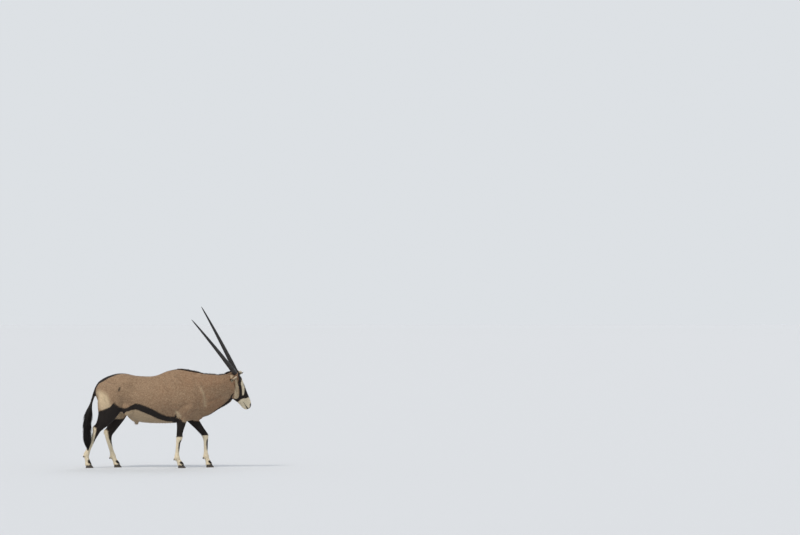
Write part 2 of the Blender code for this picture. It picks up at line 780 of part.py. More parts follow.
def ear(side):
    """A leaf-shaped ear, a cup that opens forwards and is closed at its root."""
    frame = head_frame()
    way = EAR_AIM[side]
    root = sided(EAR_ROOT, side)
    front = (EAR_FRONT - way * way.dot(EAR_FRONT)).normalized()
    across = way.cross(front)
    bm = bmesh.new()
    rings = []
    for t in (0.0, 0.08, 0.2, 0.34, 0.5, 0.66, 0.8, 0.91, 0.98):
        half = ear_half(t)
        cup = half * (0.95 - 0.35 * t)
        closed = max(1 - t / EAR_CLOSED, 0.0)
        wall = EAR_WALL + 0.016 * closed
        middle = root + way * (EAR_SEAT + GAP / 2 + (EAR_LENGTH - EAR_SEAT) * t)
        middle += front * EAR_BEND * math.sin(math.pi * t)
        ring = []
        for k in range(EAR_ARC + 1):
            angle = math.pi * k / EAR_ARC
            ring.append(middle + across * half * math.cos(angle) - front * cup * math.sin(angle))
        for k in range(EAR_ARC - 1, 0, -1):
            angle = math.pi * k / EAR_ARC
            depth = max(cup - wall, 0.0) * math.sin(angle) - 0.014 * closed
            ring.append(middle - across * (wall - half) * math.cos(angle) - front * depth)
        rings.append([bm.verts.new(frame @ point) for point in ring])
    skin_rings(bm, rings)
    bmesh.ops.triangulate(bm, faces=bm.faces[:])
    return object_of(bm, "ear")


# Levels of a hoof from the sole up: height, how far forward its middle lies, and shares of length and width
HOOF_LEVELS = (
    (0.0, 0.010, 1.00, 0.96),
    (0.004, 0.010, 1.02, 1.00),
    (0.024, 0.002, 0.86, 0.97),
    (HOOF_HEIGHT - GAP, -0.006, 0.66, 0.86),
)


def hoof(rows, way):
    """One of the two claws of a foot, with a flat sole, a sloping toe wall and a bulb at the heel."""
    x, y = rows[-2][:2]
    bm = bmesh.new()
    rings = []
    for z, lead, length, width in HOOF_LEVELS:
        ring = []
        for k in range(HOOF_SIDES):
            angle = 2 * math.pi * k / HOOF_SIDES
            along, out = math.cos(angle), math.sin(angle)
            reach = HOOF_TOE if along > 0 else HOOF_HEEL
            half = HOOF_OUTER if out * way > 0 else HOOF_INNER
            half *= 1 - 0.35 * max(along, 0) ** 2
            place = (x + lead + along * reach * length, y + way * HOOF_OFFSET + out * half * width, z)
            ring.append(bm.verts.new(place))
        rings.append(ring)
    skin_rings(bm, rings)
    return object_of(bm, "hoof")


def tail_spine(z):
    """The tail's middle line at a height, continued below the bony part by its hair."""
    dense = catmull(TAIL_ROWS, TAIL_STEPS)
    if z <= dense[-1][2]:
        share = (dense[-1][2] - z) / (dense[-1][2] - TAIL_TIP_Z)
        return Vector((dense[-1][0] + 0.012 * share, dense[-1][1] - 0.018 * share, z))
    for upper, lower in zip(dense, dense[1:]):
        if upper[2] >= z >= lower[2]:
            t = (upper[2] - z) / max(upper[2] - lower[2], 1e-9)
            return Vector([a + (b - a) * t for a, b in zip(upper[:3], lower[:3])])
    return Vector(dense[0][:3])


def brush_half(z):
    """The half width of the tail's brush at a height."""
    swell = ramp(TAIL_HAIR_TOP - z, 0.0, 0.30) * ramp(z, TAIL_TIP_Z - 0.03, 0.42)
    return BRUSH_NECK + (BRUSH_HALF - BRUSH_NECK) * swell


def tail_core():
    """The tail's bony part and the closed middle of its hair, from the seat on the rump down."""
    dense = catmull(TAIL_ROWS, TAIL_STEPS)[TAIL_SEAT:]
    below = [tail_spine(dense[-1][2] - 0.03 * (i + 1)) for i in range(5)]
    rows = []
    for x, y, z, radius in dense + [(*place, 0.0) for place in below]:
        radius = max(radius, BRUSH_CORE * brush_half(z))
        rows.append((x, y, z, radius, radius))
    along = (Vector(dense[1][:3]) - Vector(dense[0][:3])).normalized()
    rows[0] = (*(Vector(dense[0][:3]) + along * GAP), rows[0][3], rows[0][4])
    return path_loft("tail", rows, steps=1, sides=10)


def tail_lock(out, root_z, length, closing):
    """A lock that leaves the core, lies over the next tier's roots and turns in by closing at its tip."""
    spine, widths, thick = [], [], []
    for i in range(LOCK_STEPS + 1):
        t = i / LOCK_STEPS
        z = root_z - length * t
        half = brush_half(z)
        inside = BRUSH_CORE * half - 0.003
        offset = (inside + (half - inside) * t**0.8) * (1 - closing * ramp(t, 0.6, 1.0))
        spine.append(tail_spine(z) + out * offset)
        share = 2 * math.pi * max(half, 2 * BRUSH_NECK) / TAIL_LOCKS
        widths.append(share * (0.80 + 0.35 * ramp(t, 0.0, 0.5)) * (1 - 0.30 * ramp(t, 0.5, 1.0)))
        thick.append(TAIL_LOCK_THICK * (1 - 0.5 * t))
    bm = bmesh.new()
    lock(bm, spine, widths, thick, out)
    return object_of(bm, "tail_lock")


def tail_brush(core):
    """Tiers of long locks that hang round the core like shingles, swell the brush and close it to a point."""
    draw = random.Random(SEED)
    hair = []
    for tier in range(TAIL_TIERS):
        last = tier == TAIL_TIERS - 1
        for k in range(TAIL_LOCKS):
            angle = 2 * math.pi * (k + 0.5 * (tier % 2) + draw.uniform(-0.12, 0.12)) / TAIL_LOCKS
            out = Vector((math.cos(angle), math.sin(angle), 0))
            root_z = TAIL_HAIR_TOP - 0.012 - tier * TIER_STEP - draw.uniform(0.0, 0.045)
            length = TAIL_LOCK_LENGTH * draw.uniform(0.88, 1.12)
            if last:
                length = root_z - TAIL_TIP_Z - draw.uniform(0.0, 0.05)
            hair.append(tail_lock(out, root_z, length, 0.85 if last else 0.0))
    return grown(core, hair)


def crest_height(x):
    """The top line of the neck and withers at x."""
    rows = catmull(NECK_ROWS, 8)
    for lower, upper in zip(rows, rows[1:]):
        if lower[0] <= x <= upper[0]:
            t = (x - lower[0]) / (upper[0] - lower[0])
            row = [a + (b - a) * t for a, b in zip(lower, upper)]
            tilt = math.radians(row[5])
            return Vector((x, row[1] - math.sin(tilt) * row[3], row[2] + math.cos(tilt) * row[3]))
    return Vector((x, 0, WITHERS))


def surface_top(thing, x, y):
    """The highest point of the object's surface over a place."""
    return thing.ray_cast(Vector((x, y, 2.0)), Vector((0, 0, -1)))[1]


def mane(thing):
    """Short locks in two overlapping rows along the crest, leaning back from the poll to the withers."""
    draw = random.Random(SEED + 1)
    hair = []
    for i in range(int((MANE_END - MANE_START) / MANE_STEP) + 1):
        x = MANE_START + MANE_STEP * i
        full = ramp(x, MANE_START - 0.03, 0.28) * (1 - 0.35 * ramp(x, 0.68, 0.76))
        for way in (-1, 1):
            place = surface_top(thing, x + 0.5 * MANE_STEP * (way > 0), crest_height(x).y + way * 0.006)
            length = MANE_LENGTH * draw.uniform(0.85, 1.1) * (0.5 + 0.5 * full)
            lean = Vector((-0.85 + draw.uniform(-0.12, 0.12), way * 0.22, 0.55)).normalized()
            spine = [
                place - Vector((0, 0, MANE_SINK)),
                place + lean * length * 0.2,
                place + lean * length * 0.6 + Vector((-0.002, 0, -0.001)),
                place + lean * length + Vector((-0.006, 0, -0.004)),
            ]
            bm = bmesh.new()
            lock(bm, spine, (0.034, 0.032, 0.021), (0.010, 0.009, 0.005), Vector((0, 1, 0)))
            hair.append(object_of(bm, "mane_lock"))
    return grown(thing, hair)


def leg_nodes(torso, name, rows, top_row, joint_row):
    """Parts a leg off the trunk, then at its knee or hock, and cuts its foot flat for the hooves."""
    made = []
    side = math.copysign(1, rows[top_row][1])
    top = Vector((rows[top_row][0], 0, rows[top_row][2]))
    along = (Vector(rows[top_row + 1][:3]) - Vector(rows[top_row - 1][:3])).normalized()
    tilt = Vector((along.x * 0.6, 0, along.z)).normalized()
    across = (LEG_INNER, 0.30) if side > 0 else (-0.30, -LEG_INNER)
    leg = part_off(torso, name, top, tilt, 0.24, across)
    joint = Vector(rows[joint_row][:3])
    along = (Vector(rows[joint_row + 1][:3]) - Vector(rows[joint_row - 1][:3])).normalized()
    lower = part_off(leg, name, joint, along, 0.35, (-0.15, 0.15))
    sole = Vector((rows[-2][0], rows[-2][1], HOOF_HEIGHT))
    bpy.data.objects.remove(part_off(lower, name, sole, Vector((0, 0, -1)), 0.2, (-0.1, 0.1)))
    made.append(finished(largest_shell(leg), f"{name}_upper", "dark_hide"))
    made.append(finished(largest_shell(lower), f"{name}_lower", "pale_hide"))
    for label, way in (("outer", side), ("inner", -side)):
        made.append(finished(hoof(rows, way), f"hoof_{name}_{label}", "hoof"))
    return made


def build():
    clear_scene()
    frame = head_frame()
    pieces = body_pieces() + head_pieces()
    for rows, fetlock in (
        (HIND_RIGHT_ROWS, 12),
        (HIND_LEFT_ROWS, 12),
        (FORE_RIGHT_ROWS, 11),
        (FORE_LEFT_ROWS, 11),
    ):
        pieces += dewclaws(rows, fetlock)
    torso = fused(pieces, FLESH_VOXEL)
    smoothed(torso, 26, trunk_weight)
    smoothed(torso, 4, lambda point: 1.0)
    thinned(torso, FLESH_TRIANGLES)
    mane(torso)

    nodes = []
    neck_plane = Vector((0.44, 0, 0.88))
    neck = part_off(torso, "neck", neck_plane, Vector((1, 0, -0.18)), 0.36, (-0.4, 0.4))
    head_plane = frame @ Vector((-0.010, 0, -0.115))
    head_way = frame.to_3x3() @ Vector((0.62, 0, 0.78))
    head = part_off(neck, "head", head_plane, head_way, 0.6, (-0.4, 0.4))

    for side in SIDES:
        for root, way, seat, radius in seats(side):
            for flesh in (head, neck):
                carved(flesh, rod("seat", root + way * seat, way, CUT_LENGTH, radius + CUT_SPARE, frame))
        nodes.append(finished(horn(side), f"horn_{side}", "horn"))
        nodes.append(finished(ear(side), f"ear_{side}", "hide"))
        nodes.append(finished(eye_ball("eye", side, EYE_RADIUS), f"eye_{side}", "eye"))
        lidded(head, side)
        nostril(head, side)
    mouth(head)
    nodes.append(finished(largest_shell(head), "head", "hide"))

    nodes += leg_nodes(torso, "hindleg_right", HIND_RIGHT_ROWS, 4, 7)
    nodes += leg_nodes(torso, "hindleg_left", HIND_LEFT_ROWS, 4, 7)
    nodes += leg_nodes(torso, "foreleg_right", FORE_RIGHT_ROWS, 3, 6)
    nodes += leg_nodes(torso, "foreleg_left", FORE_LEFT_ROWS, 3, 6)

    hollow = [(*row[:3], row[3] + TAIL_CLEAR, row[3] + TAIL_CLEAR) for row in catmull(TAIL_ROWS, TAIL_STEPS)]
    carved(torso, path_loft("hollow", hollow[TAIL_SEAT:], steps=1, sides=24))
    nodes.append(finished(tail_brush(tail_core()), "tail", "hair"))

    nodes.append(finished(largest_shell(neck), "neck", "hide"))
    nodes.append(finished(largest_shell(torso), "torso", "hide"))

    whole = bpy.data.objects.new("gemsbok", None)
    bpy.context.scene.collection.objects.link(whole)
    whole.location = BODY_SHIFT
    for node in nodes:
        node.parent = whole


build()
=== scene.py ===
"""The looks of a life-size gemsbok, a still model as a museum shows, walking with its head lowered."""

import contextlib
import functools
import math

import bmesh
import bpy
import numpy as np
from mathutils import Matrix, Vector
from mathutils.bvhtree import BVHTree


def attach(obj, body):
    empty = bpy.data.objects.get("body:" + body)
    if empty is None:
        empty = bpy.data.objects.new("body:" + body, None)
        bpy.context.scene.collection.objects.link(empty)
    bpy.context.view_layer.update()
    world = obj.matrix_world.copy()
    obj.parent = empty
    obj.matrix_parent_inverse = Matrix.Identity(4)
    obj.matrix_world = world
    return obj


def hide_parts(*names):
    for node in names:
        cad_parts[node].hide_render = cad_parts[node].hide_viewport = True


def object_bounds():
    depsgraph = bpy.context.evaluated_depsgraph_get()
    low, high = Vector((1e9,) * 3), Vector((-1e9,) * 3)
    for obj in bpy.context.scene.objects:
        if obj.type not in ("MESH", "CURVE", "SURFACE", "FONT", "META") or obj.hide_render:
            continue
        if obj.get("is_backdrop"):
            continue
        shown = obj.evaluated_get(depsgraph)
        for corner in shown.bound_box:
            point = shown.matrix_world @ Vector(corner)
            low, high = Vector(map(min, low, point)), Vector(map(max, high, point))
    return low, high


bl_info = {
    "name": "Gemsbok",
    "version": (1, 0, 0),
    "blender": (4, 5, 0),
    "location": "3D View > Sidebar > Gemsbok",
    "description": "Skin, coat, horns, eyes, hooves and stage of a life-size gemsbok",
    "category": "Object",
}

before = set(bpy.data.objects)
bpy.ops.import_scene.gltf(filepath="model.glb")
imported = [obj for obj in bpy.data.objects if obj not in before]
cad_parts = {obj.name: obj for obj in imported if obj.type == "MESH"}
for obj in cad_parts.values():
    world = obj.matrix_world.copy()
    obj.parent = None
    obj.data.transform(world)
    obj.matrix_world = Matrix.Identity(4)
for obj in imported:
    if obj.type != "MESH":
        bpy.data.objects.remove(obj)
CAD_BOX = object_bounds()

# Sizes along the body are counted from the animal's middle line, and this moves the whole to its place
BODY_SHIFT = Vector((0.005, 0.113, 0.0))
WITHERS = 1.19
BELLY = 0.535
SIDES = {"left": 1.0, "right": -1.0}

# The head's place, and how far the nose hangs and the head tilts to its right
HEAD_ORIGIN = Vector((0.866, -0.032, 1.124))
HEAD_DROP = math.radians(68.6)
HEAD_TILT = math.radians(20.0)

# How far an ear's root is sunk in the head, and what the flesh of horns and ears reaches past their seats
ROOT_SINK = 0.030
SEAT_SPARE = 0.003

# Horns: seat, radius at the base, the flesh's radius at its root and its end and how far it is sunk in the
# head, then the ringed share, bow, taper and flattening
HORN_SEAT = 0.022
HORN_BASE_RADIUS = 0.029
PEDICLE_RADIUS = 0.0285
PEDICLE_END = 0.0338
PEDICLE_SINK = 0.040
HORN_RINGED = 0.56
HORN_BOW = 0.008
HORN_TAPER = 0.80
HORN_FLATTEN = 0.94
HORN_ROOT = Vector((-0.012, 0.036, -0.032))
# Rings of points that make up a horn's lower, ringed part and the rest
HORN_LEVELS = (190, 50)
# Each horn's length, and how far it leans back from the line of the face and out to its side
HORNS = {
    "left": (0.920, math.radians(6.3), math.radians(9.3)),
    "right": (0.950, math.radians(12.7), math.radians(9.2)),
}

# Ears: seat, flesh radius, length, half the width at the root and what it swells by, wall, bend, how far the
# tip curls, the share of the length that is closed at the root, and the steps round the outside
EAR_SEAT = 0.016
EAR_ROOT_RADIUS = 0.0235
EAR_LENGTH = 0.185
EAR_ROOT_HALF = 0.0225
EAR_SWELL = 0.0215
EAR_WALL = 0.0045
EAR_BEND = 0.010
EAR_CURL = {"left": Vector((0.0, 0.0, 0.044)), "right": Vector((-0.030, 0.0, -0.022))}
EAR_CLOSED = 0.15
EAR_ARC = 18
EAR_ROOT = Vector((0.002, 0.060, -0.052))
EAR_AIM = {
    "left": Vector((0.074, 0.166, 0.017)).normalized(),
    "right": Vector((-0.030, -0.182, -0.015)).normalized(),
}
EAR_FRONT = Vector((0.82, 0.0, 0.45))
# Their hair: number of tufts, and their length and width
EAR_HAIR = {"outer": (5200, 0.012, 0.0018), "inner": (1500, 0.026, 0.0016)}

# Eyes: place, the way they look, radius, slant, half sizes of the pupil and of the opening between the lids,
# what share of the opening's half height the upper and lower lid leave free, and the lids' thickness
EYE_PLACE = Vector((0.086, 0.0605, -0.036))
EYE_WAY = Vector((0.15, 1.0, 0.22)).normalized()
EYE_RADIUS = 0.0205
EYE_SLANT = math.radians(24)
PUPIL_HALF = (0.0078, 0.0030)
EYE_OPENING = (0.0172, 0.0106)
UPPER_LID = 1.08
LOWER_LID = 0.86
LID = 0.0030
# Where the iris ends, how far the cornea bulges and where that ends, and the number and width of the lashes
IRIS_EDGE = (0.0118, 0.0132)
CORNEA_RISE = 0.0012
CORNEA_EDGE = (0.004, 0.0125)
LASH_COUNT = 90
LASH_WIDTH = 0.0006
# How deep the eye's edge lies in the lids, how far round the eye they are formed, and the folds round them:
# height or minus depth, share of the opening where each lies, and its width
EYE_INSET = 0.0016
EYE_REACH = 0.045
LID_FOLDS = ((0.0008, 1.16, 0.10), (-0.0016, 1.52, 0.12))

# The mouth's line in the head's frame: where its corner lies and how it rises forwards, the depth and half
# width of its groove and of the split under the nose, and the height, place and half width of the lips
MOUTH_CORNER = Vector((0.342, 0.0, -0.081))
MOUTH_SLOPE = 1.0 / 6.0
LIP_GROOVE = (0.0045, 0.0026)
LIP_SWELL = (0.0011, 0.0065, 0.0035)
LIP_SPLIT = (0.0022, 0.0014)
# The nostril's place, radii and depth, and the height of its rim
NOSTRIL = Vector((0.436, 0.024, -0.046))
NOSTRIL_RADII = (0.0155, 0.012, 0.0062)
NOSTRIL_DEPTH = 0.011
NOSTRIL_RIM = 0.0013

# Hooves: the toe's and heel's reach, half widths to the outside and to the cleft, and the claw's offset
HOOF_HEIGHT = 0.047
HOOF_TOE = 0.052
HOOF_HEEL = 0.040
HOOF_OUTER = 0.0185
HOOF_INNER = 0.0140
HOOF_OFFSET = 0.0165
HEEL_SLOPE = 0.28

# The tail's brush: its top and tip, and half its width at the neck and at its widest
TAIL_HAIR_TOP = 0.865
TAIL_TIP_Z = 0.205
BRUSH_HALF = 0.062
BRUSH_NECK = 0.010

# Torso rows: x, top, bottom, half width, level of the widest point from 0 at the bottom to 1 at the top,
# and how square the section is above and below that point
TORSO_ROWS = (
    (-0.868, 0.965, 0.880, 0.030, 0.50, 2.0, 2.0),
    (-0.838, 1.024, 0.800, 0.085, 0.50, 2.0, 2.0),
    (-0.780, 1.070, 0.735, 0.135, 0.50, 2.0, 2.0),
    (-0.700, 1.108, 0.695, 0.172, 0.52, 1.9, 2.0),
    (-0.600, 1.134, 0.665, 0.200, 0.56, 1.9, 2.0),
    (-0.500, 1.134, 0.635, 0.212, 0.58, 1.9, 2.0),
    (-0.400, 1.112, 0.578, 0.218, 0.54, 1.9, 2.1),
    (-0.300, 1.102, 0.545, 0.232, 0.48, 1.95, 2.1),
    (-0.150, 1.106, BELLY, 0.248, 0.46, 1.9, 2.1),
    (0.000, 1.164, BELLY, 0.243, 0.45, 1.7, 2.1),
    (0.130, WITHERS, 0.540, 0.222, 0.44, 1.5, 2.0),
    (0.220, 1.180, 0.552, 0.202, 0.44, 1.5, 2.0),
    (0.320, 1.160, 0.575, 0.172, 0.44, 1.6, 2.0),
    (0.400, 1.140, 0.620, 0.130, 0.45, 1.7, 2.0),
    (0.440, 1.080, 0.700, 0.080, 0.50, 2.0, 2.0),
)

# Neck rows: x, y, z of the middle, half height, half width, and the tilt of the section in degrees
NECK_ROWS = (
    (0.200, 0.000, 0.865, 0.255, 0.140, 0.0),
    (0.320, 0.000, 0.872, 0.268, 0.146, 0.0),
    (0.430, 0.000, 0.882, 0.264, 0.132, 3.0),
    (0.540, 0.000, 0.907, 0.226, 0.110, 7.0),
    (0.648, 0.000, 0.936, 0.198, 0.096, 12.0),
    (0.720, 0.000, 0.966, 0.170, 0.088, 16.0),
    (0.775, -0.004, 0.976, 0.155, 0.080, 18.0),
    (0.812, -0.008, 0.985, 0.125, 0.066, 20.0),
)

# Head rows, along the bridge of the nose from the poll: x, top, bottom, half width, and as for the torso
HEAD_ROWS = (
    (-0.058, -0.080, -0.137, 0.028, 0.55, 2.0, 2.0),
    (-0.040, -0.045, -0.168, 0.054, 0.58, 2.0, 2.0),
    (-0.012, -0.014, -0.190, 0.066, 0.62, 2.2, 1.9),
    (0.030, -0.002, -0.204, 0.071, 0.66, 2.4, 1.8),
    (0.080, 0.003, -0.214, 0.071, 0.68, 2.6, 1.8),
    (0.130, 0.003, -0.220, 0.065, 0.66, 2.6, 1.8),
    (0.190, 0.001, -0.219, 0.056, 0.62, 2.6, 1.8),
    (0.250, -0.001, -0.203, 0.048, 0.58, 2.5, 1.9),
    (0.310, -0.002, -0.168, 0.043, 0.54, 2.4, 2.0),
    (0.360, -0.004, -0.143, 0.044, 0.50, 2.3, 2.1),
    (0.400, -0.009, -0.130, 0.046, 0.50, 2.2, 2.2),
    (0.432, -0.022, -0.114, 0.041, 0.50, 2.1, 2.1),
    (0.448, -0.042, -0.094, 0.026, 0.50, 2.0, 2.0),
)

# Leg rows from the body down: x, y, z of the middle, half length fore and aft, half width
HIND_RIGHT_ROWS = (
    (-0.600, -0.110, 0.980, 0.150, 0.075),
    (-0.640, -0.126, 0.880, 0.172, 0.084),
    (-0.676, -0.136, 0.780, 0.163, 0.084),
    (-0.700, -0.136, 0.700, 0.140, 0.076),
    (-0.725, -0.130, 0.630, 0.112, 0.064),
    (-0.765, -0.122, 0.560, 0.083, 0.052),
    (-0.805, -0.114, 0.505, 0.060, 0.042),
    (-0.838, -0.107, 0.462, 0.049, 0.037),
    (-0.858, -0.101, 0.415, 0.040, 0.033),
    (-0.880, -0.096, 0.365, 0.031, 0.027),
    (-0.912, -0.090, 0.290, 0.026, 0.023),
    (-0.945, -0.086, 0.215, 0.026, 0.023),
    (-0.966, -0.084, 0.165, 0.035, 0.030),
    (-0.966, -0.084, 0.128, 0.028, 0.028),
    (-0.956, -0.084, 0.088, 0.030, 0.030),
    (-0.946, -0.084, 0.044, 0.038, 0.036),
    (-0.944, -0.084, 0.030, 0.036, 0.034),
)
HIND_LEFT_ROWS = (
    (-0.590, 0.110, 0.980, 0.150, 0.075),
    (-0.590, 0.126, 0.880, 0.170, 0.084),
    (-0.588, 0.136, 0.780, 0.158, 0.084),
    (-0.594, 0.136, 0.700, 0.134, 0.075),
    (-0.612, 0.130, 0.620, 0.105, 0.063),
    (-0.642, 0.122, 0.545, 0.080, 0.052),
    (-0.680, 0.115, 0.470, 0.061, 0.042),
    (-0.710, 0.108, 0.412, 0.050, 0.037),
    (-0.714, 0.104, 0.362, 0.040, 0.032),
    (-0.706, 0.100, 0.310, 0.031, 0.026),
    (-0.690, 0.096, 0.245, 0.026, 0.023),
    (-0.672, 0.093, 0.182, 0.026, 0.023),
    (-0.661, 0.092, 0.140, 0.035, 0.030),
    (-0.647, 0.092, 0.106, 0.028, 0.028),
    (-0.631, 0.092, 0.074, 0.030, 0.030),
    (-0.617, 0.092, 0.044, 0.038, 0.036),
    (-0.613, 0.092, 0.030, 0.036, 0.034),
)
FORE_RIGHT_ROWS = (
    (0.215, -0.118, 0.700, 0.110, 0.064),
    (0.190, -0.124, 0.630, 0.090, 0.056),
    (0.176, -0.123, 0.570, 0.067, 0.048),
    (0.167, -0.120, 0.510, 0.053, 0.042),
    (0.157, -0.116, 0.450, 0.042, 0.035),
    (0.151, -0.113, 0.405, 0.037, 0.032),
    (0.149, -0.111, 0.370, 0.039, 0.035),
    (0.142, -0.109, 0.335, 0.033, 0.030),
    (0.134, -0.107, 0.300, 0.0265, 0.0255),
    (0.127, -0.105, 0.230, 0.0240, 0.0225),
    (0.120, -0.104, 0.168, 0.0245, 0.0230),
    (0.120, -0.104, 0.130, 0.033, 0.030),
    (0.133, -0.104, 0.098, 0.027, 0.027),
    (0.149, -0.104, 0.069, 0.030, 0.030),
    (0.162, -0.104, 0.044, 0.038, 0.036),
    (0.166, -0.104, 0.030, 0.036, 0.034),
)
FORE_LEFT_ROWS = (
    (0.255, 0.115, 0.700, 0.110, 0.064),
    (0.272, 0.124, 0.630, 0.088, 0.056),
    (0.306, 0.122, 0.570, 0.067, 0.048),
    (0.350, 0.118, 0.515, 0.054, 0.042),
    (0.394, 0.113, 0.460, 0.044, 0.035),
    (0.428, 0.109, 0.418, 0.039, 0.032),
    (0.448, 0.106, 0.383, 0.040, 0.035),
    (0.455, 0.104, 0.348, 0.033, 0.030),
    (0.457, 0.102, 0.310, 0.0265, 0.0255),
    (0.457, 0.100, 0.240, 0.0240, 0.0225),
    (0.457, 0.099, 0.178, 0.0245, 0.0230),
    (0.460, 0.099, 0.140, 0.033, 0.030),
    (0.472, 0.099, 0.105, 0.027, 0.027),
    (0.484, 0.099, 0.073, 0.030, 0.030),
    (0.493, 0.099, 0.044, 0.038, 0.036),
    (0.496, 0.099, 0.030, 0.036, 0.034),
)
# Each leg's rows, and the numbers of the rows at its knee or hock and at its fetlock
LEGS = {
    "hindleg_right": (HIND_RIGHT_ROWS, 7, 12),
    "hindleg_left": (HIND_LEFT_ROWS, 7, 12),
    "foreleg_right": (FORE_RIGHT_ROWS, 6, 11),
    "foreleg_left": (FORE_LEFT_ROWS, 6, 11),
}

# How thick the tail's short hair is, and the tail's bony part with it, from the rump down: x, y, z of the
# middle and its radius
TAIL_HAIR = 0.002
TAIL_ROWS = (
    (-0.790, 0.000, 1.024, 0.034),
    (-0.834, -0.002, 0.984, 0.029),
    (-0.864, -0.008, 0.926, 0.024),
    (-0.888, -0.020, 0.858, 0.021),
    (-0.912, -0.045, 0.780, 0.018),
    (-0.934, -0.078, 0.690, 0.016),
    (-0.948, -0.112, 0.600, 0.013),
    (-0.955, -0.140, 0.520, 0.010),
    (-0.957, -0.160, 0.440, 0.006),
)

# Rounded forms of the body: middle, radii, and how far the front tips down in degrees
BODY_BALLS = {
    "brisket": ((0.360, 0.000, 0.655), (0.085, 0.075, 0.100), 35),
    "sheath": ((-0.418, 0.000, 0.592), (0.085, 0.030, 0.030), 36),
    "sheath_tip": ((-0.366, 0.000, 0.548), (0.026, 0.018, 0.020), 0),
    "scrotum": ((-0.600, 0.000, 0.640), (0.036, 0.040, 0.062), 0),
    "hock_right": ((-0.872, -0.108, 0.486), (0.021, 0.017, 0.040), 28),
    "hock_left": ((-0.752, 0.109, 0.428), (0.021, 0.017, 0.040), 12),
}
# The same for those on both sides, and how much further forward the left one lies
SIDE_BALLS = {
    "blade": ((0.180, 0.118, 0.900), (0.095, 0.060, 0.215), -30, 0.020),
    "upper_arm": ((0.195, 0.140, 0.705), (0.150, 0.060, 0.110), -24, 0.040),
    "shoulder_point": ((0.330, 0.098, 0.750), (0.062, 0.055, 0.085), 0, 0.020),
    "elbow": ((0.112, 0.130, 0.615), (0.036, 0.030, 0.050), 15, 0.100),
    "hip": ((-0.515, 0.150, 0.995), (0.090, 0.045, 0.060), 0, 0.0),
    "flank": ((-0.455, 0.150, 0.730), (0.085, 0.050, 0.110), 25, 0.0),
}
# By each fetlock, a pad and a dewclaw on both sides: how far it lies forward, out and up from the middle of
# the rear edge, and its radii
PAD = ((0.010, 0.014, -0.012), (0.013, 0.012, 0.020))
DEWCLAW = ((0.0015, 0.0150, -0.026), (0.0085, 0.0078, 0.0140))
# The head's rounded forms on each side, in its frame: middle and radii
HEAD_BALLS = (
    ((0.076, 0.050, -0.022), (0.040, 0.024, 0.022)),
    ((0.125, 0.034, -0.135), (0.085, 0.030, 0.066)),
    ((0.402, 0.024, -0.048), (0.042, 0.022, 0.028)),
    ((0.396, 0.017, -0.098), (0.038, 0.020, 0.022)),
)

# Ridges and grooves in the trunk's sides: points of x and z, half width, and height or minus depth
BODY_LINES = (
    (((0.070, 1.090), (0.150, 0.960), (0.225, 0.800)), 0.018, 0.0040),
    (((-0.020, 1.050), (0.055, 0.820), (0.065, 0.690)), 0.036, -0.0060),
    (((0.425, 0.985), (0.462, 0.870), (0.458, 0.715)), 0.013, -0.0070),
    (((0.385, 0.985), (0.425, 0.870), (0.420, 0.735)), 0.022, 0.0050),
    (((0.500, 0.790), (0.620, 0.835), (0.715, 0.880)), 0.018, -0.0050),
    (((0.480, 1.000), (0.600, 1.010), (0.720, 1.040)), 0.050, 0.0040),
    (((-0.715, 0.990), (-0.745, 0.850), (-0.720, 0.720), (-0.735, 0.640)), 0.014, -0.0050),
    (((-0.430, 0.830), (-0.490, 0.740), (-0.530, 0.670)), 0.012, -0.0040),
    (((0.095, 0.690), (0.120, 0.640), (0.165, 0.600)), 0.010, -0.0050),
    (((0.230, 0.640), (0.300, 0.690), (0.380, 0.700)), 0.014, -0.0040),
)
# Swellings and hollows of the trunk's sides: x, z, half length, half height, and height or minus depth
BODY_SPOTS = (
    (0.130, 0.730, 0.070, 0.060, 0.0080),
    (0.300, 0.790, 0.060, 0.070, 0.0050),
    (-0.390, 0.935, 0.080, 0.060, -0.0110),
    (-0.470, 1.035, 0.045, 0.030, 0.0070),
    (-0.620, 0.860, 0.100, 0.110, 0.0060),
    (-0.500, 0.740, 0.040, 0.045, 0.0050),
    (-0.800, 0.930, 0.035, 0.040, 0.0040),
)
# The ribs: their number, the first one's x, the step to the next, and each one's line, half width and height
RIB_COUNT = 8
RIB_FIRST = -0.02
RIB_STEP = 0.050
RIB_LINE = ((0.0, 0.930), (-0.050, 0.800), (-0.055, 0.665))
RIB_HALF = 0.013
RIB_HEIGHT = 0.0016
# How much stronger all that is made on the trunk, as the coat evens it out
TRUNK_RELIEF = 1.35
# The same for the head's sides, in its frame
HEAD_LINES = (
    (((0.168, -0.075), (0.186, -0.125), (0.180, -0.185)), 0.014, -0.0030),
    (((0.125, -0.056), (0.180, -0.066), (0.245, -0.078)), 0.009, 0.0040),
    (((0.190, -0.026), (0.280, -0.034), (0.370, -0.034)), 0.009, -0.0025),
    (((0.050, -0.006), (0.086, -0.009), (0.116, -0.020)), 0.008, 0.0030),
    (((0.010, -0.185), (0.130, -0.204), (0.240, -0.184)), 0.010, 0.0020),
    (((0.300, -0.060), (0.345, -0.095), (0.372, -0.128)), 0.007, -0.0018),
)
HEAD_SPOTS = (
    (0.100, -0.130, 0.055, 0.048, 0.0035),
    (0.126, -0.043, 0.022, 0.012, -0.0040),
    (0.032, -0.030, 0.018, 0.015, -0.0040),
    (0.400, -0.045, 0.030, 0.020, 0.0015),
)

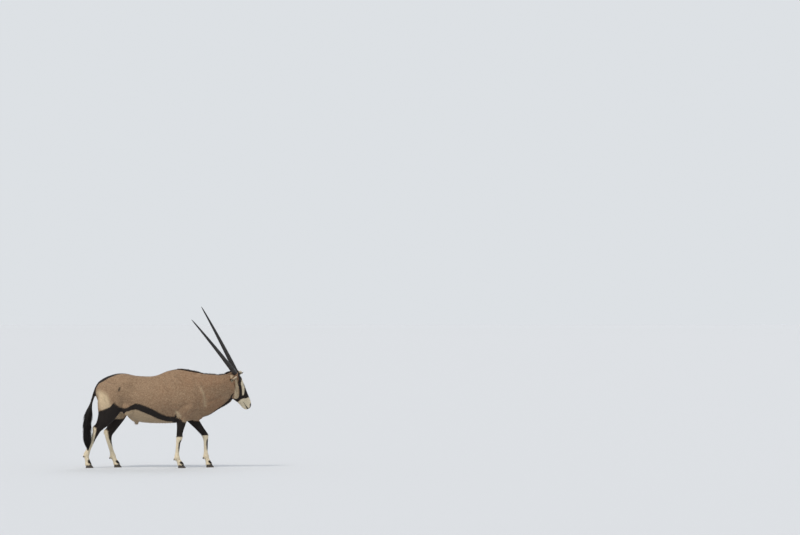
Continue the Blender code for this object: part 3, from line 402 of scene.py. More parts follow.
# The black stripe of the flank, from the thigh to the elbow: x, z and half width
FLANK_STRIPE = (
    (-0.570, 0.700, 0.030),
    (-0.484, 0.699, 0.020),
    (-0.427, 0.722, 0.026),
    (-0.362, 0.744, 0.036),
    (-0.281, 0.717, 0.041),
    (-0.175, 0.673, 0.040),
    (-0.094, 0.628, 0.037),
    (0.003, 0.592, 0.032),
    (0.109, 0.590, 0.032),
    (0.150, 0.560, 0.036),
)
ELBOW_STRIPE = {
    "right": ((0.113, 0.655, 0.004), (0.106, 0.600, 0.016)),
    "left": ((0.150, 0.575, 0.034), (0.235, 0.590, 0.030), (0.232, 0.650, 0.004)),
}
# Black along the croup to the tail and along the back and crest, from above: x, y and half width
TOP_STRIPE = (
    (0.830, -0.010, 0.016),
    (0.700, 0.000, 0.017),
    (0.430, 0.000, 0.017),
    (0.130, 0.000, 0.018),
    (0.000, 0.000, 0.014),
    (-0.300, 0.000, 0.012),
    (-0.470, 0.000, 0.022),
    (-0.580, 0.000, 0.050),
    (-0.660, 0.000, 0.074),
    (-0.750, 0.000, 0.084),
    (-0.810, 0.000, 0.062),
    (-0.870, 0.000, 0.028),
)
# The same for the throat, from below, and the level it stays under at its rear end and how that rises
THROAT_STRIPE = ((0.790, -0.012, 0.020), (0.640, 0.000, 0.014), (0.440, 0.000, 0.012))
THROAT_LEVEL = (0.710, 0.53)
# Pale hair by the buttock and at the elbow: x, z and half width
RUMP_PATCH = (
    (-0.815, 0.900, 0.030),
    (-0.765, 0.845, 0.062),
    (-0.745, 0.765, 0.070),
    (-0.700, 0.730, 0.040),
)
ELBOW_PATCH = ((0.126, 0.666, 0.010), (0.150, 0.632, 0.014))
# A small healed mark on the right haunch
SCAR = ((-0.556, 0.972, 0.007), (-0.566, 0.937, 0.010))

# The black of a thigh starts at these leg rows, by share from the rear edge at -1 to the front edge at 1
THIGH_TOP = (
    (-1.0, 3.35),
    (-0.7, 3.1),
    (-0.3, 2.85),
    (0.1, 2.5),
    (0.27, 1.85),
    (0.5, 2.2),
    (0.8, 2.5),
    (1.2, 2.7),
)
# Further down it lies before this share from the rear edge, by leg row, and it ends at the last number
HOCK_REAR = ((5.9, -1.4), (6.5, -0.4), (7.2, -0.05), (8.0, 0.10), (9.0, 0.40), (10.0, 0.95), (10.4, 1.6))
# On the inside of the thigh it starts at this row, and white starts at these rows behind and before the hock
THIGH_INNER = 4.4
HOCK_WHITE = (6.3, 8.6)
# The black of a forearm starts at these rows in the same way and ends at one row. A row is ROW_STEP long
FOREARM_TOP = ((-1.2, 1.2), (-0.5, 1.6), (0.0, 2.05), (0.6, 2.2), (1.2, 2.4))
FOREARM_END = 5.85
ROW_STEP = 0.062

# The face's marks on each side in the head's frame: x, z and half width
EYE_STRIPE = (
    (-0.020, 0.004, 0.014),
    (0.043, -0.006, 0.015),
    (0.086, -0.032, 0.016),
    (0.176, -0.052, 0.015),
    (0.248, -0.080, 0.018),
    (0.272, -0.100, 0.018),
)
JAW_STRIPE = (
    (0.170, -0.140, 0.004),
    (0.212, -0.196, 0.014),
    (0.258, -0.190, 0.015),
    (0.296, -0.152, 0.020),
    (0.272, -0.100, 0.016),
)
WHITE_STRIPE = (
    (0.095, 0.002, 0.020),
    (0.141, -0.006, 0.017),
    (0.189, -0.022, 0.016),
    (0.248, -0.045, 0.014),
)
CHEEK_STRIPE = (
    (0.040, -0.054, 0.012),
    (0.090, -0.062, 0.016),
    (0.160, -0.095, 0.023),
    (0.256, -0.138, 0.026),
)
# Black of the nose and the forehead from the front: x, y and half width
NOSE_PATCH = (
    (0.118, 0.000, 0.004),
    (0.140, 0.000, 0.016),
    (0.190, 0.000, 0.024),
    (0.240, 0.000, 0.032),
    (0.275, 0.000, 0.040),
)
FOREHEAD_PATCH = (
    (-0.050, 0.000, 0.024),
    (0.010, 0.000, 0.026),
    (0.062, 0.000, 0.014),
)
# Black of the nose from the side: x, z and half width
NOSE_SIDE = (
    (0.160, 0.004, 0.004),
    (0.195, -0.002, 0.010),
    (0.250, -0.014, 0.022),
    (0.276, -0.030, 0.030),
)
# Marks seen from the front end at this level of the head, and the white of the muzzle starts at this x
FRONT_LEVEL = -0.075
MUZZLE_START = 0.292
# Pale hair under the ear, and faint painted light on the trunk: a painted highlight along the shoulder's
# edge and a painted shade behind the shoulder
EAR_PATCH = ((-0.035, -0.110, 0.018), (0.000, -0.052, 0.016))
SHOULDER_HIGHLIGHT = ((0.412, 0.975, 0.004), (0.452, 0.870, 0.007), (0.462, 0.750, 0.006))
SHOULDER_SHADE = (0.118, 0.755, 0.055, 0.020)

# The lie of the hair on the trunk and neck: x, z, and the way it runs in x and z
TRUNK_COMB = (
    (-0.80, 0.95, -0.45, -1.00),
    (-0.75, 0.75, -0.35, -1.00),
    (-0.50, 1.05, -1.00, -0.25),
    (-0.50, 0.75, -0.75, -0.75),
    (-0.15, 1.05, -1.00, -0.20),
    (-0.15, 0.80, -1.00, -0.45),
    (-0.10, 0.58, -1.00, -0.10),
    (0.15, 1.10, -1.00, -0.30),
    (0.15, 0.80, -0.70, -0.90),
    (0.30, 0.62, -0.30, -1.00),
    (0.48, 0.75, -0.45, -1.00),
    (0.50, 1.05, -1.00, -0.55),
    (0.70, 1.05, -1.00, -0.50),
    (0.70, 0.88, -0.80, -0.75),
)
TRUNK_COMB_REACH = 0.16
# The same on the head, in its frame
HEAD_COMB = (
    (-0.06, -0.04, -1.00, 0.10),
    (0.02, -0.02, -0.90, 0.10),
    (0.09, 0.00, 1.00, -0.10),
    (0.20, 0.00, 1.00, -0.10),
    (0.40, -0.02, 1.00, -0.20),
    (0.08, -0.08, -0.60, -0.80),
    (0.10, -0.16, -0.90, -0.50),
    (0.22, -0.09, -0.30, -0.90),
    (0.36, -0.06, 0.80, -0.50),
    (0.36, -0.12, -0.50, -0.80),
)
HEAD_COMB_REACH = 0.05

# Coat zones: number of tufts, their length and width, and the lift of their tips
COAT_ZONES = {
    "head": (46000, 0.0090, 0.0016, 0.0008),
    "neck": (36000, 0.0190, 0.0027, 0.0012),
    "shoulders": (48000, 0.0200, 0.0032, 0.0012),
    "haunches": (48000, 0.0200, 0.0032, 0.0012),
    "legs": (42000, 0.0125, 0.0021, 0.0010),
}
TUFT_SINK = 0.0005
MANE_WIDTH = 0.0036
# Fringes of the coat's own colour: number of locks, their length and width, and the way they sag
FRINGES = {
    "legs": (1500, 0.020, 0.0022, (-0.25, 0, -0.9)),
    "coronets": (2400, 0.015, 0.0021, (0.0, 0, -0.9)),
    "sheath": (220, 0.030, 0.0026, (0.15, 0, -1.0)),
    "elbows": (420, 0.026, 0.0026, (-0.5, 0, -0.7)),
    "belly": (900, 0.022, 0.0026, (-0.8, 0, -0.4)),
    "throat": (900, 0.024, 0.0026, (-0.5, 0, -0.6)),
    "chin": (260, 0.016, 0.0009, (0.0, 0, -0.6)),
}
# The side of each lock's patch on its map
PATCH = 0.003
# How far the edges of the marks fade on the body and on the face, and a distance that is outside every mark
MARK_SOFT = 0.008
FACE_SOFT = 0.0035
FAR = 0.5
# Triangles of the skin before its face is refined, and of the copy of it that is laid flat
SKIN_TRIANGLES = 118000
PLAN_TRIANGLES = 14000
# Where all random draws start
SEED = 7


def linear(code):
    """The linear colour of an sRGB hex value."""
    parts = [int(code[i : i + 2], 16) / 255 for i in (1, 3, 5)]
    return tuple(p / 12.92 if p <= 0.04045 else ((p + 0.055) / 1.055) ** 2.4 for p in parts)


def colour_prop(name, description, code):
    """A colour setting with that hex value as its default."""
    return bpy.props.FloatVectorProperty(
        name=name, description=description, default=linear(code), subtype="COLOR", size=3, min=0, max=1
    )


class GemsbokColours(bpy.types.PropertyGroup):
    """Colours of the coat, horn and eyes."""

    fawn: colour_prop("Fawn", "Grey fawn of the body's coat", "#8B7057")
    russet: colour_prop("Russet", "Warmer brown of neck and shoulder", "#8C674B")
    cream: colour_prop("Cream", "Pale hair of rump, belly and cheeks", "#CDB898")
    white: colour_prop("White", "White hair of muzzle, face and lower legs", "#E8DABD")
    black: colour_prop("Black", "Brown black of stripes and upper legs", "#1B130F")
    bare: colour_prop("Bare skin", "Slate black of the nose pad and lids", "#1E1A1A")
    horn: colour_prop("Horn", "Black brown of the horns", "#1D1B1B")
    horn_worn: colour_prop("Worn horn", "Dusty grey of worn ridges and hollows", "#554E47")
    hoof: colour_prop("Hoof", "Slate black of the hooves", "#2A2623")
    iris: colour_prop("Iris", "Dark brown of the iris", "#3A2214")
    floor: colour_prop("Floor", "Pale floor", "#C3C6CA")


class GemsbokSizes(bpy.types.PropertyGroup):
    """Sizes of the finer forms."""

    skin_grain: bpy.props.FloatProperty(
        name="Skin grain", description="Size of the faces that fuse the skin", default=0.005, unit="LENGTH"
    )
    coat_depth: bpy.props.FloatProperty(
        name="Coat depth", description="How far the skin lies inside the coat", default=0.0035, unit="LENGTH"
    )
    horn_ridges: bpy.props.IntProperty(
        name="Horn ridges", description="Rings on the lower part of each horn", default=27, min=1
    )
    mane_length: bpy.props.FloatProperty(
        name="Mane length", description="Length of the hair along the crest", default=0.046, unit="LENGTH"
    )
    mane_locks: bpy.props.IntProperty(
        name="Mane locks", description="Locks of hair along the crest", default=2600, min=1
    )
    brush_locks: bpy.props.IntProperty(
        name="Brush locks", description="Locks of hair in the tail's brush", default=1700, min=1
    )


def sizes():
    """The settings of the finer forms."""
    return bpy.context.scene.gemsbok_sizes


def colours():
    """The settings of the colours."""
    return bpy.context.scene.gemsbok_colours


def ramp(value, low, high):
    """0 below low, 1 above high and smooth between, for numbers or arrays."""
    t = np.clip((value - low) / (high - low), 0.0, 1.0)
    return t * t * (3 - 2 * t)


def bell(*terms):
    """1 where each value is at its middle, and falling to 0 round it. Terms are value, middle and width."""
    return np.exp(-sum(((value - middle) / width) ** 2 for value, middle, width in terms))


def catmull(rows, steps):
    """The rows with steps values between each pair, on a smooth curve through them."""
    out = []
    for i in range(len(rows) - 1):
        around = [rows[min(max(i + k, 0), len(rows) - 1)] for k in (-1, 0, 1, 2)]
        for t in (k / steps for k in range(steps)):
            row = []
            for a, b, c, d in zip(*around):
                square, cube = 2 * a - 5 * b + 4 * c - d, 3 * b - a - 3 * c + d
                row.append(0.5 * (2 * b + (c - a) * t + square * t**2 + cube * t**3))
            out.append(tuple(row))
    out.append(tuple(rows[-1]))
    return out


def squared(value, power):
    """A sine or cosine bent so that the section is an ellipse at power 2 and squarer above it."""
    return math.copysign(abs(value) ** (2.0 / power), value)


def pitch(degrees):
    """A turn that tips the front down."""
    return Matrix.Rotation(math.radians(degrees), 4, "Y")


def head_frame():
    """Local x runs down the bridge of the nose, y to the head's left and z out of the forehead."""
    tilt = Matrix.Rotation(HEAD_TILT, 4, "X")
    drop = Matrix.Rotation(HEAD_DROP, 4, "Y")
    return Matrix.Translation(HEAD_ORIGIN) @ tilt @ drop


HEAD = head_frame()
HEAD_TURN = np.array(HEAD.to_3x3())


def to_head(places):
    """Body places as places in the head's frame."""
    return (places - np.array(HEAD_ORIGIN)) @ HEAD_TURN


def from_head(local):
    """Places in the head's frame as body places."""
    return local @ HEAD_TURN.T + np.array(HEAD_ORIGIN)


def sided(point, side):
    """The point, mirrored to the right side where side is right."""
    return Vector((point.x, point.y * SIDES[side], point.z))


def placed(name, data):
    """A new object of the scene that holds the data."""
    made = bpy.data.objects.new(name, data)
    bpy.context.scene.collection.objects.link(made)
    return made


def object_of(bm, name):
    """A scene object that holds the bmesh, which is freed."""
    mesh = bpy.data.meshes.new(name)
    bm.to_mesh(mesh)
    bm.free()
    return placed(name, mesh)


@contextlib.contextmanager
def opened(mesh):
    """The mesh as a bmesh to work on, which is then written back."""
    bm = bmesh.new()
    bm.from_mesh(mesh)
    yield bm
    bm.to_mesh(mesh)
    bm.free()


def read(items, name, width, kind=float):
    """What a mesh's items hold under that name, as an array with a row for each."""
    flat = np.empty(len(items) * width, kind)
    items.foreach_get(name, flat)
    return flat.reshape(-1, width)


def places_of(mesh):
    """The mesh's points as an array."""
    return read(mesh.vertices, "co", 3)


def normals_of(mesh):
    """The mesh's point normals as an array."""
    return read(mesh.vertex_normals, "vector", 3)


def move_to(mesh, places):
    """Moves the mesh's points to those places."""
    mesh.vertices.foreach_set("co", places.ravel())
    mesh.update()


def hold(mesh, name, values):
    """Keeps a number, or a row of three, for each point of the mesh under that name."""
    values = np.asarray(values, np.float32)
    kind, part = ("FLOAT", "value") if values.ndim == 1 else ("FLOAT_VECTOR", "vector")
    mesh.attributes.new(name, kind, "POINT").data.foreach_set(part, values.ravel())


def finish(thing, surface, slot, *replaced):
    """Moves the mesh to its place in the whole, gives it its material and ties it to the model."""
    thing.data.transform(Matrix.Translation(BODY_SHIFT))
    thing.data.materials.clear()
    thing.data.materials.append(surface)
    thing.data.shade_smooth()
    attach(thing, "root")
    if replaced:
        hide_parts(*replaced)
    return thing


def loft(rings):
    """A closed form through rings of points, each ring a circle that is set in place and bridged on."""
    bm = bmesh.new()
    before = None
    for points in rings:
        ring = bmesh.ops.create_circle(bm, segments=len(points), radius=1.0)["verts"]
        for vertex, place in zip(ring, points):
            vertex.co = place
        edges = list({edge for vertex in ring for edge in vertex.link_edges})
        if before:
            bmesh.ops.bridge_loops(bm, edges=before + edges)
        before = edges
    bmesh.ops.holes_fill(bm, edges=bm.edges[:], sides=0)
    bmesh.ops.recalc_face_normals(bm, faces=bm.faces[:])
    return bm


def circle_angles(count):
    """Angles that part a circle evenly."""
    return [2 * math.pi * k / count for k in range(count)]


def section_form(name, rows, place=Matrix.Identity(4)):
    """A closed form through upright sections: x, top, bottom, half width, widest level, squareness."""
    rings = []
    for x, top, bottom, half, level, above, below in catmull(rows, 5):
        middle = bottom + (top - bottom) * level
        ring = []
        for angle in circle_angles(36):
            power = above if math.sin(angle) > 0 else below
            rise = squared(math.sin(angle), power)
            rise *= (top - middle) if rise > 0 else (middle - bottom)
            ring.append((x, squared(math.cos(angle), power) * half, middle + rise))
        rings.append(ring)
    bm = loft(rings)
    bmesh.ops.transform(bm, matrix=place, verts=bm.verts[:])
    return object_of(bm, name)


def path_form(name, rows):
    """A closed form along a path: x, y, z, half size up or fore, half size across and perhaps degrees."""
    dense = catmull(rows, 5)
    rings = []
    for i, (x, y, z, high, wide, *tilt) in enumerate(dense):
        centre = Vector((x, y, z))
        ahead = Vector(dense[min(i + 1, len(dense) - 1)][:3])
        behind = Vector(dense[max(i - 1, 0)][:3])
        along = (ahead - behind).normalized()
        across = (Vector((0, 1, 0)) - along * along.y).normalized()
        fore = across.cross(along)
        for degrees in tilt:
            turn = Matrix.Rotation(math.radians(degrees), 3, along)
            across, fore = turn @ across, turn @ fore
        rings.append(
            [centre + across * math.cos(a) * wide + fore * math.sin(a) * high for a in circle_angles(36)]
        )
    return object_of(loft(rings), name)


def ball(name, centre, radii, turn=Matrix.Identity(4), place=Matrix.Identity(4)):
    """An ellipsoid, turned about its own middle and then set in place."""
    bm = bmesh.new()
    bmesh.ops.create_icosphere(bm, subdivisions=4, radius=1.0)
    form = Matrix.Translation(Vector(centre)) @ turn @ Matrix.Diagonal((*radii, 1.0))
    bmesh.ops.transform(bm, matrix=place @ form, verts=bm.verts[:])
    return object_of(bm, name)


def rod(name, start, way, length, radius, end):
    """A plain stem in the head's frame, from start along way, with its radius at both ends."""
    bm = bmesh.new()
    bmesh.ops.create_cone(bm, cap_ends=True, segments=40, radius1=radius, radius2=end, depth=length)
    turn = way.to_track_quat("Z", "Y").to_matrix().to_4x4()
    place = HEAD @ Matrix.Translation(start + way * length / 2) @ turn
    bmesh.ops.transform(bm, matrix=place, verts=bm.verts[:])
    return object_of(bm, name)


def horn_direction(side):
    """The way a horn grows from its root, in the head's frame."""
    back, spread = HORNS[side][1:]
    along = math.cos(spread)
    return Vector((-along * math.cos(back), math.sin(spread) * SIDES[side], -along * math.sin(back)))


def head_forms():
    """The forms that are fused to the head: skull, cheeks, lids, and stems for horns and ears."""
    pieces = [section_form("skull", HEAD_ROWS, HEAD)]
    lid = EYE_RADIUS + LID
    for side in SIDES:
        for centre, radii in HEAD_BALLS:
            pieces.append(ball("form", sided(Vector(centre), side), radii, place=HEAD))
        pieces.append(ball("lid", sided(EYE_PLACE, side), (lid * 1.2, lid, lid), place=HEAD))
        horn, ear = sided(HORN_ROOT, side), sided(EAR_ROOT, side)
        for root, way, sink, seat, radius, end in (
            (horn, horn_direction(side), PEDICLE_SINK, HORN_SEAT, PEDICLE_RADIUS, PEDICLE_END),
            (ear, EAR_AIM[side], ROOT_SINK, EAR_SEAT, EAR_ROOT_RADIUS, EAR_ROOT_RADIUS),
        ):
            pieces.append(rod("root", root - way * sink, way, sink + seat + SEAT_SPARE, radius, end))
    return pieces


def by_fetlock(row, way, place):
    """A place counted from the middle of the fetlock's rear edge, to the side that way says."""
    x, y, z, fore = row[:4]
    ahead, out, rise = place
    return x - fore + ahead, y + way * out, z + rise


def body_forms():
    """The forms that are fused to the body: trunk, neck, tail, legs, and the swellings on them."""
    tail = [(x, y, z, radius - TAIL_HAIR, radius - TAIL_HAIR) for x, y, z, radius in TAIL_ROWS]
    pieces = [section_form("barrel", TORSO_ROWS), path_form("neck", NECK_ROWS), path_form("dock", tail)]
    for name, (centre, radii, tip) in BODY_BALLS.items():
        pieces.append(ball(name, centre, radii, pitch(tip)))
    for rows, _, fetlock in LEGS.values():
        pieces.append(path_form("leg", rows))
        for way in (-1, 1):
            pieces.append(ball("pad", by_fetlock(rows[fetlock], way, PAD[0]), PAD[1]))
    for side, way in SIDES.items():
        for name, ((x, y, z), radii, tip, lead) in SIDE_BALLS.items():
            ahead = lead if side == "left" else 0.0
            pieces.append(ball(name, (x + ahead, y * way, z), radii, pitch(tip)))
    return pieces


def modified(thing, kind, amounts=None, **settings):
    """Applies one modifier to the object's mesh, as much as amounts says for each point."""
    modifier = thing.modifiers.new("step", kind)
    for name, value in settings.items():
        setattr(modifier, name, value)
    if amounts is not None:
        # A few levels only, as that is quick
        levels = 20
        group = thing.vertex_groups.new(name="amount")
        steps = np.rint(np.clip(amounts, 0, 1) * levels).astype(int)
        for step in range(1, levels + 1):
            group.add(np.flatnonzero(steps == step).tolist(), step / levels, "REPLACE")
        modifier.vertex_group = group.name
    graph = bpy.context.evaluated_depsgraph_get()
    mesh = bpy.data.meshes.new_from_object(thing.evaluated_get(graph))
    thing.modifiers.clear()
    thing.data = mesh
    thing.vertex_groups.clear()


def fused(pieces, grain):
    """One closed skin round all the pieces, which are removed."""
    whole = bmesh.new()
    for piece in pieces:
        whole.from_mesh(piece.data)
        bpy.data.objects.remove(piece)
    thing = object_of(whole, "skin")
    modified(thing, "REMESH", mode="VOXEL", voxel_size=grain)
    return thing


def smoothed(thing, turns, amounts):
    """Relaxes the surface, as much as amounts says for each point."""
    modified(thing, "SMOOTH", amounts, factor=0.5, iterations=turns)


def thinned(thing, triangles, amounts):
    """Fewer triangles, mostly where amounts is high."""
    ratio = triangles / (2 * len(thing.data.polygons))
    settings = {"ratio": ratio, "vertex_group_factor": 0.0001, "use_collapse_triangulate": True}
    modified(thing, "DECIMATE", amounts, **settings)


def lengths(ways):
    """The length of each way."""
    return np.linalg.norm(ways, axis=1)


def least(*gaps):
    """The smallest of the gaps at each place."""
    return functools.reduce(np.minimum, gaps)


def stroke(places, path):
    """How far each place is outside a tapered stroke, negative inside. Path rows end with a half width."""
    best = np.full(len(places), 9.0)
    for row, following in zip(path, path[1:]):
        start, end = np.array(row[:-1]), np.array(following[:-1])
        run = end - start
        t = np.clip((places - start) @ run / (run @ run), 0, 1)
        gap = lengths(places - start - t[:, None] * run)
        best = np.minimum(best, gap - (row[-1] + (following[-1] - row[-1]) * t))
    return best


def on_head(places, local):
    """1 on the head and 0 behind it."""
    return ramp(local[:, 0], -0.095, -0.050) * ramp(places[:, 0], 0.735, 0.790)


def leg_shares(places, rows):
    """Each place's row down the leg, its shares to the front and across, the way down, and if it is near."""
    table = np.array(rows)
    numbers = np.arange(len(rows))
    step = np.interp(-places[:, 2], -table[:, 2], numbers)
    row = np.stack([np.interp(step, numbers, table[:, i]) for i in range(5)], axis=1)
    fore = (places[:, 0] - row[:, 0]) / row[:, 3]
    across = (places[:, 1] - row[:, 1]) / row[:, 4]
    slopes = np.gradient(table[:, :3], axis=0)
    slopes /= lengths(slopes)[:, None]
    down = np.stack([np.interp(step, numbers, slopes[:, i]) for i in range(3)], axis=1)
    near = (np.abs(fore) < 1.7) & (np.abs(across) < 1.9) & (places[:, 2] < rows[0][2])
    return step, fore, across, down, near


def side_relief(flat, lines, spots):
    """The height of ridges and swellings, less that of grooves and hollows, at places seen from the side."""
    height = np.zeros(len(flat))
    for points, half, rise in lines:
        gap = stroke(flat, [(*point, 0.0) for point in points])
        height += rise * bell((gap, 0, half))
    for x, z, long, tall, rise in spots:
        height += rise * bell((flat[:, 0], x, long), (flat[:, 1], z, tall))
    return height


def relief(places, normals):
    """How far each point of the skin rises for muscles, bones, tendons and folds."""
    local = to_head(places)
    head = on_head(places, local)
    lines = list(BODY_LINES)
    for i in range(RIB_COUNT):
        first = RIB_FIRST - RIB_STEP * i
        lines.append(([(first + x, z) for x, z in RIB_LINE], RIB_HALF, RIB_HEIGHT))
    beside = ramp(np.abs(normals[:, 1]), 0.15, 0.60)
    trunk = ramp(places[:, 2], 0.54, 0.64) * (1 - head)
    height = TRUNK_RELIEF * side_relief(places[:, (0, 2)], lines, BODY_SPOTS) * beside * trunk
    turned = np.abs(normals @ HEAD_TURN[:, 1])
    height += side_relief(local[:, (0, 2)], HEAD_LINES, HEAD_SPOTS) * ramp(turned, 0.2, 0.7) * head
    for name, (rows, joint, fetlock) in LEGS.items():
        step, fore, across, _, near = leg_shares(places, rows)
        inside = near * (1 - ramp(places[:, 2], 0.52, 0.60))
        cannon = ramp(step, joint + 1.5, joint + 2.4) * (1 - ramp(step, fetlock - 0.9, fetlock - 0.3))
        tendon = bell((fore, -0.28, 0.22)) * ramp(np.abs(across), 0.4, 0.8)
        height -= 0.0030 * tendon * cannon * inside
        if name.startswith("hind"):
            hollow = ramp(step, 5.0, 5.8) * (1 - ramp(step, 6.6, 7.2))
            height -= 0.0070 * bell((fore, -0.42, 0.24)) * hollow * inside
        else:
            knee = bell((step - joint, -0.1, 0.55))
            height += 0.0022 * knee * ramp(fore, 0.0, 0.7) * inside
            forearm = ramp(step, 2.4, 3.2) * (1 - ramp(step, 4.6, 5.4))
            height -= 0.0028 * bell((fore, 0.15, 0.16)) * forearm * ramp(across, 0.3, 0.8) * inside
        height += 0.0016 * (bell((step - fetlock, 0, 0.45)) * bell((fore, 0, 0.4))) * inside
    return height


def top_gap(places):
    """How far each place is outside the black line along the back, as seen from above."""
    return stroke(places[:, (0, 1)], TOP_STRIPE) + (places[:, 2] < 0.90) * FAR


def throat_gap(places):
    """How far each place is outside the black line along the throat, as seen from below."""
    level = THROAT_LEVEL[0] + (places[:, 0] - THROAT_STRIPE[-1][0]) * THROAT_LEVEL[1]
    return stroke(places[:, (0, 1)], THROAT_STRIPE) + (places[:, 2] > level) * FAR


def leg_marks(places):
    """How far each place is outside the black and the white of the legs."""
    dark = white = np.full(len(places), FAR)
    for name, (rows, joint, fetlock) in LEGS.items():
        step, fore, across, _, near = leg_shares(places, rows)
        if name.startswith("hind"):
            top = np.interp(fore, *np.array(THIGH_TOP).T)
            inner = ramp(across * (-1 if name.endswith("left") else 1), 0.1, 0.5)
            top = top + (np.maximum(top, THIGH_INNER) - top) * inner
            rear = np.interp(step, *np.array(HOCK_REAR).T)
            patch = np.maximum((top - step) * ROW_STEP, (rear - fore) * 0.030)
            behind, before = ((row - step) * ROW_STEP for row in HOCK_WHITE)
            stocking = np.minimum(before, np.maximum(behind, (fore - rear) * 0.03))
        else:
            top = np.interp(fore, *np.array(FOREARM_TOP).T)
            patch = np.maximum((top - step), (step - FOREARM_END)) * ROW_STEP
            spot = np.hypot((fore - 0.95) / 0.70, (step - joint - 2.3) / 1.25) - 1
            patch = np.minimum(patch, spot * 0.020)
            stocking = (FOREARM_END - step) * ROW_STEP
        band = (np.hypot((fore - 1.0) / 0.95, (step - fetlock - 2.25) / 0.70) - 1) * 0.02
        dark = least(dark, np.where(near, np.minimum(patch, band), FAR))
        white = least(white, np.where(near & (places[:, 2] < 0.60), stocking, FAR))
    return dark, white


def body_marks(places):
    """How far each place is outside the dark, pale and white marks of body and legs, with painted shade and
    a painted highlight among them.
    """
    x, y, z = places.T
    flat = places[:, (0, 2)]
    stripes = [stroke(flat, ELBOW_STRIPE[side]) + (y * way < 0) * FAR for side, way in SIDES.items()]
    stripes = np.maximum(least(stroke(flat, FLANK_STRIPE), *stripes), 0.05 - np.abs(y))
    scar = stroke(flat, SCAR) + (y >= 0) * FAR
    tail = stroke(places, [(*row[:3], row[3] + 0.010) for row in TAIL_ROWS[1:]])
    # A faint dark patch behind the shoulder, above the elbow: painted shade
    middle, level, long, tall = SHOULDER_SHADE
    shoulder_shade = np.maximum((np.hypot((x - middle) / long, (z - level) / tall) - 1) * 0.02, 0.0034)
    legs, white = leg_marks(places)
    dark = least(stripes, scar, top_gap(places), throat_gap(places), tail, shoulder_shade, legs)
    stripe = np.array(FLANK_STRIPE)[1:]
    under = np.maximum(z - np.interp(x, stripe[:, 0], stripe[:, 1]), x - 0.26)
    under = np.maximum(under, (x < -0.50) * (np.abs(y) - 0.085))
    # The belly's own cream shows only in part, about two thirds, so the belly is darker: painted shade under
    # the body
    under = np.maximum(under, -0.004)
    # Faint pale along the shoulder's edge: a painted highlight of the crease there
    shoulder = stroke(flat, SHOULDER_HIGHLIGHT) + 0.008
    pale = least(stroke(flat, RUMP_PATCH), stroke(flat, ELBOW_PATCH), shoulder, under)
    return dark, pale, white


def face_marks(local):
    """How far each place of the head is outside its dark, pale and white marks and the bare nose pad."""
    x, y, z = local.T
    face, front = local[:, (0, 2)], local[:, (0, 1)]
    upper = (z < FRONT_LEVEL) * FAR
    stripes = np.maximum(least(stroke(face, EYE_STRIPE), stroke(face, JAW_STRIPE)), 0.014 - np.abs(y))
    muzzle = MUZZLE_START + 0.022 * ramp(np.abs(z + 0.060), 0.030, 0.075) - x
    band = np.maximum(np.maximum(0.252 - x, -0.112 - z), -muzzle)
    lips = np.abs(z - mouth_level(x)) - (0.0028 + 0.0050 * ramp(x, 0.365, 0.420))
    lips = np.maximum(lips, 0.336 - x)
    nose = least(stroke(front, NOSE_PATCH) + upper, stroke(face, NOSE_SIDE))
    dark = least(stripes, nose, stroke(front, FOREHEAD_PATCH) + upper, band, lips)
    pale = least(stroke(face, CHEEK_STRIPE), stroke(face, EAR_PATCH))
    brow = (np.hypot((x - 0.090) / 0.026, y / 0.040) - 1) * 0.02 + upper
    white = least(stroke(face, WHITE_STRIPE), muzzle, brow)
    pad = (np.hypot(y / 0.040, (z + 0.041) / 0.040) - 1) * 0.02
    return dark, pale, white, np.maximum(pad, 0.380 + 0.4 * np.abs(y) - x)


def marks(places):
    """How dark, pale, white and bare each place is, from 1 well inside a mark to -1 well outside."""
    local = to_head(places)
    head = on_head(places, local)
    *face, bare = face_marks(local)
    found = {}
    softness = {"dark": (1, 1), "pale": (4, 2), "white": (2, 1)}
    for (name, (wide, fine)), on_body, on_face in zip(softness.items(), body_marks(places), face):
        edge = np.where(head > 0.5, on_face / (fine * FACE_SOFT), on_body / (wide * MARK_SOFT))
        found[name] = np.clip(-edge, -1.0, 1.0)
    bare = np.maximum(bare + (head < 0.5) * FAR, mouth_level(local[:, 0]) + 0.002 - local[:, 2])
    found["bare"] = np.clip(-(bare / FACE_SOFT), -1.0, 1.0)
    return found


def mouth_level(x):
    """The height of the mouth's line in the head's frame."""
    return MOUTH_CORNER.z + (x - MOUTH_CORNER.x) * MOUTH_SLOPE


def eye_axes(side):
    """The eye's place, then the ways along its opening, up across it and out of it, in the head's frame."""
    out = sided(EYE_WAY, side)
    long = Vector((math.cos(EYE_SLANT), 0, -math.sin(EYE_SLANT)))
    long = (long - out * long.dot(out)).normalized()
    up = out.cross(long) * -SIDES[side]
    return [np.array(axis) for axis in (sided(EYE_PLACE, side), long, up, out)]


def opening_share(along, rise):
    """0 in the middle of the lids' opening and 1 at its edge."""
    half = EYE_OPENING[1] * np.where(rise > 0, UPPER_LID, LOWER_LID)
    return np.hypot(along / EYE_OPENING[0], rise / half * (1 + 0.30 * (along / EYE_OPENING[0]) ** 2))


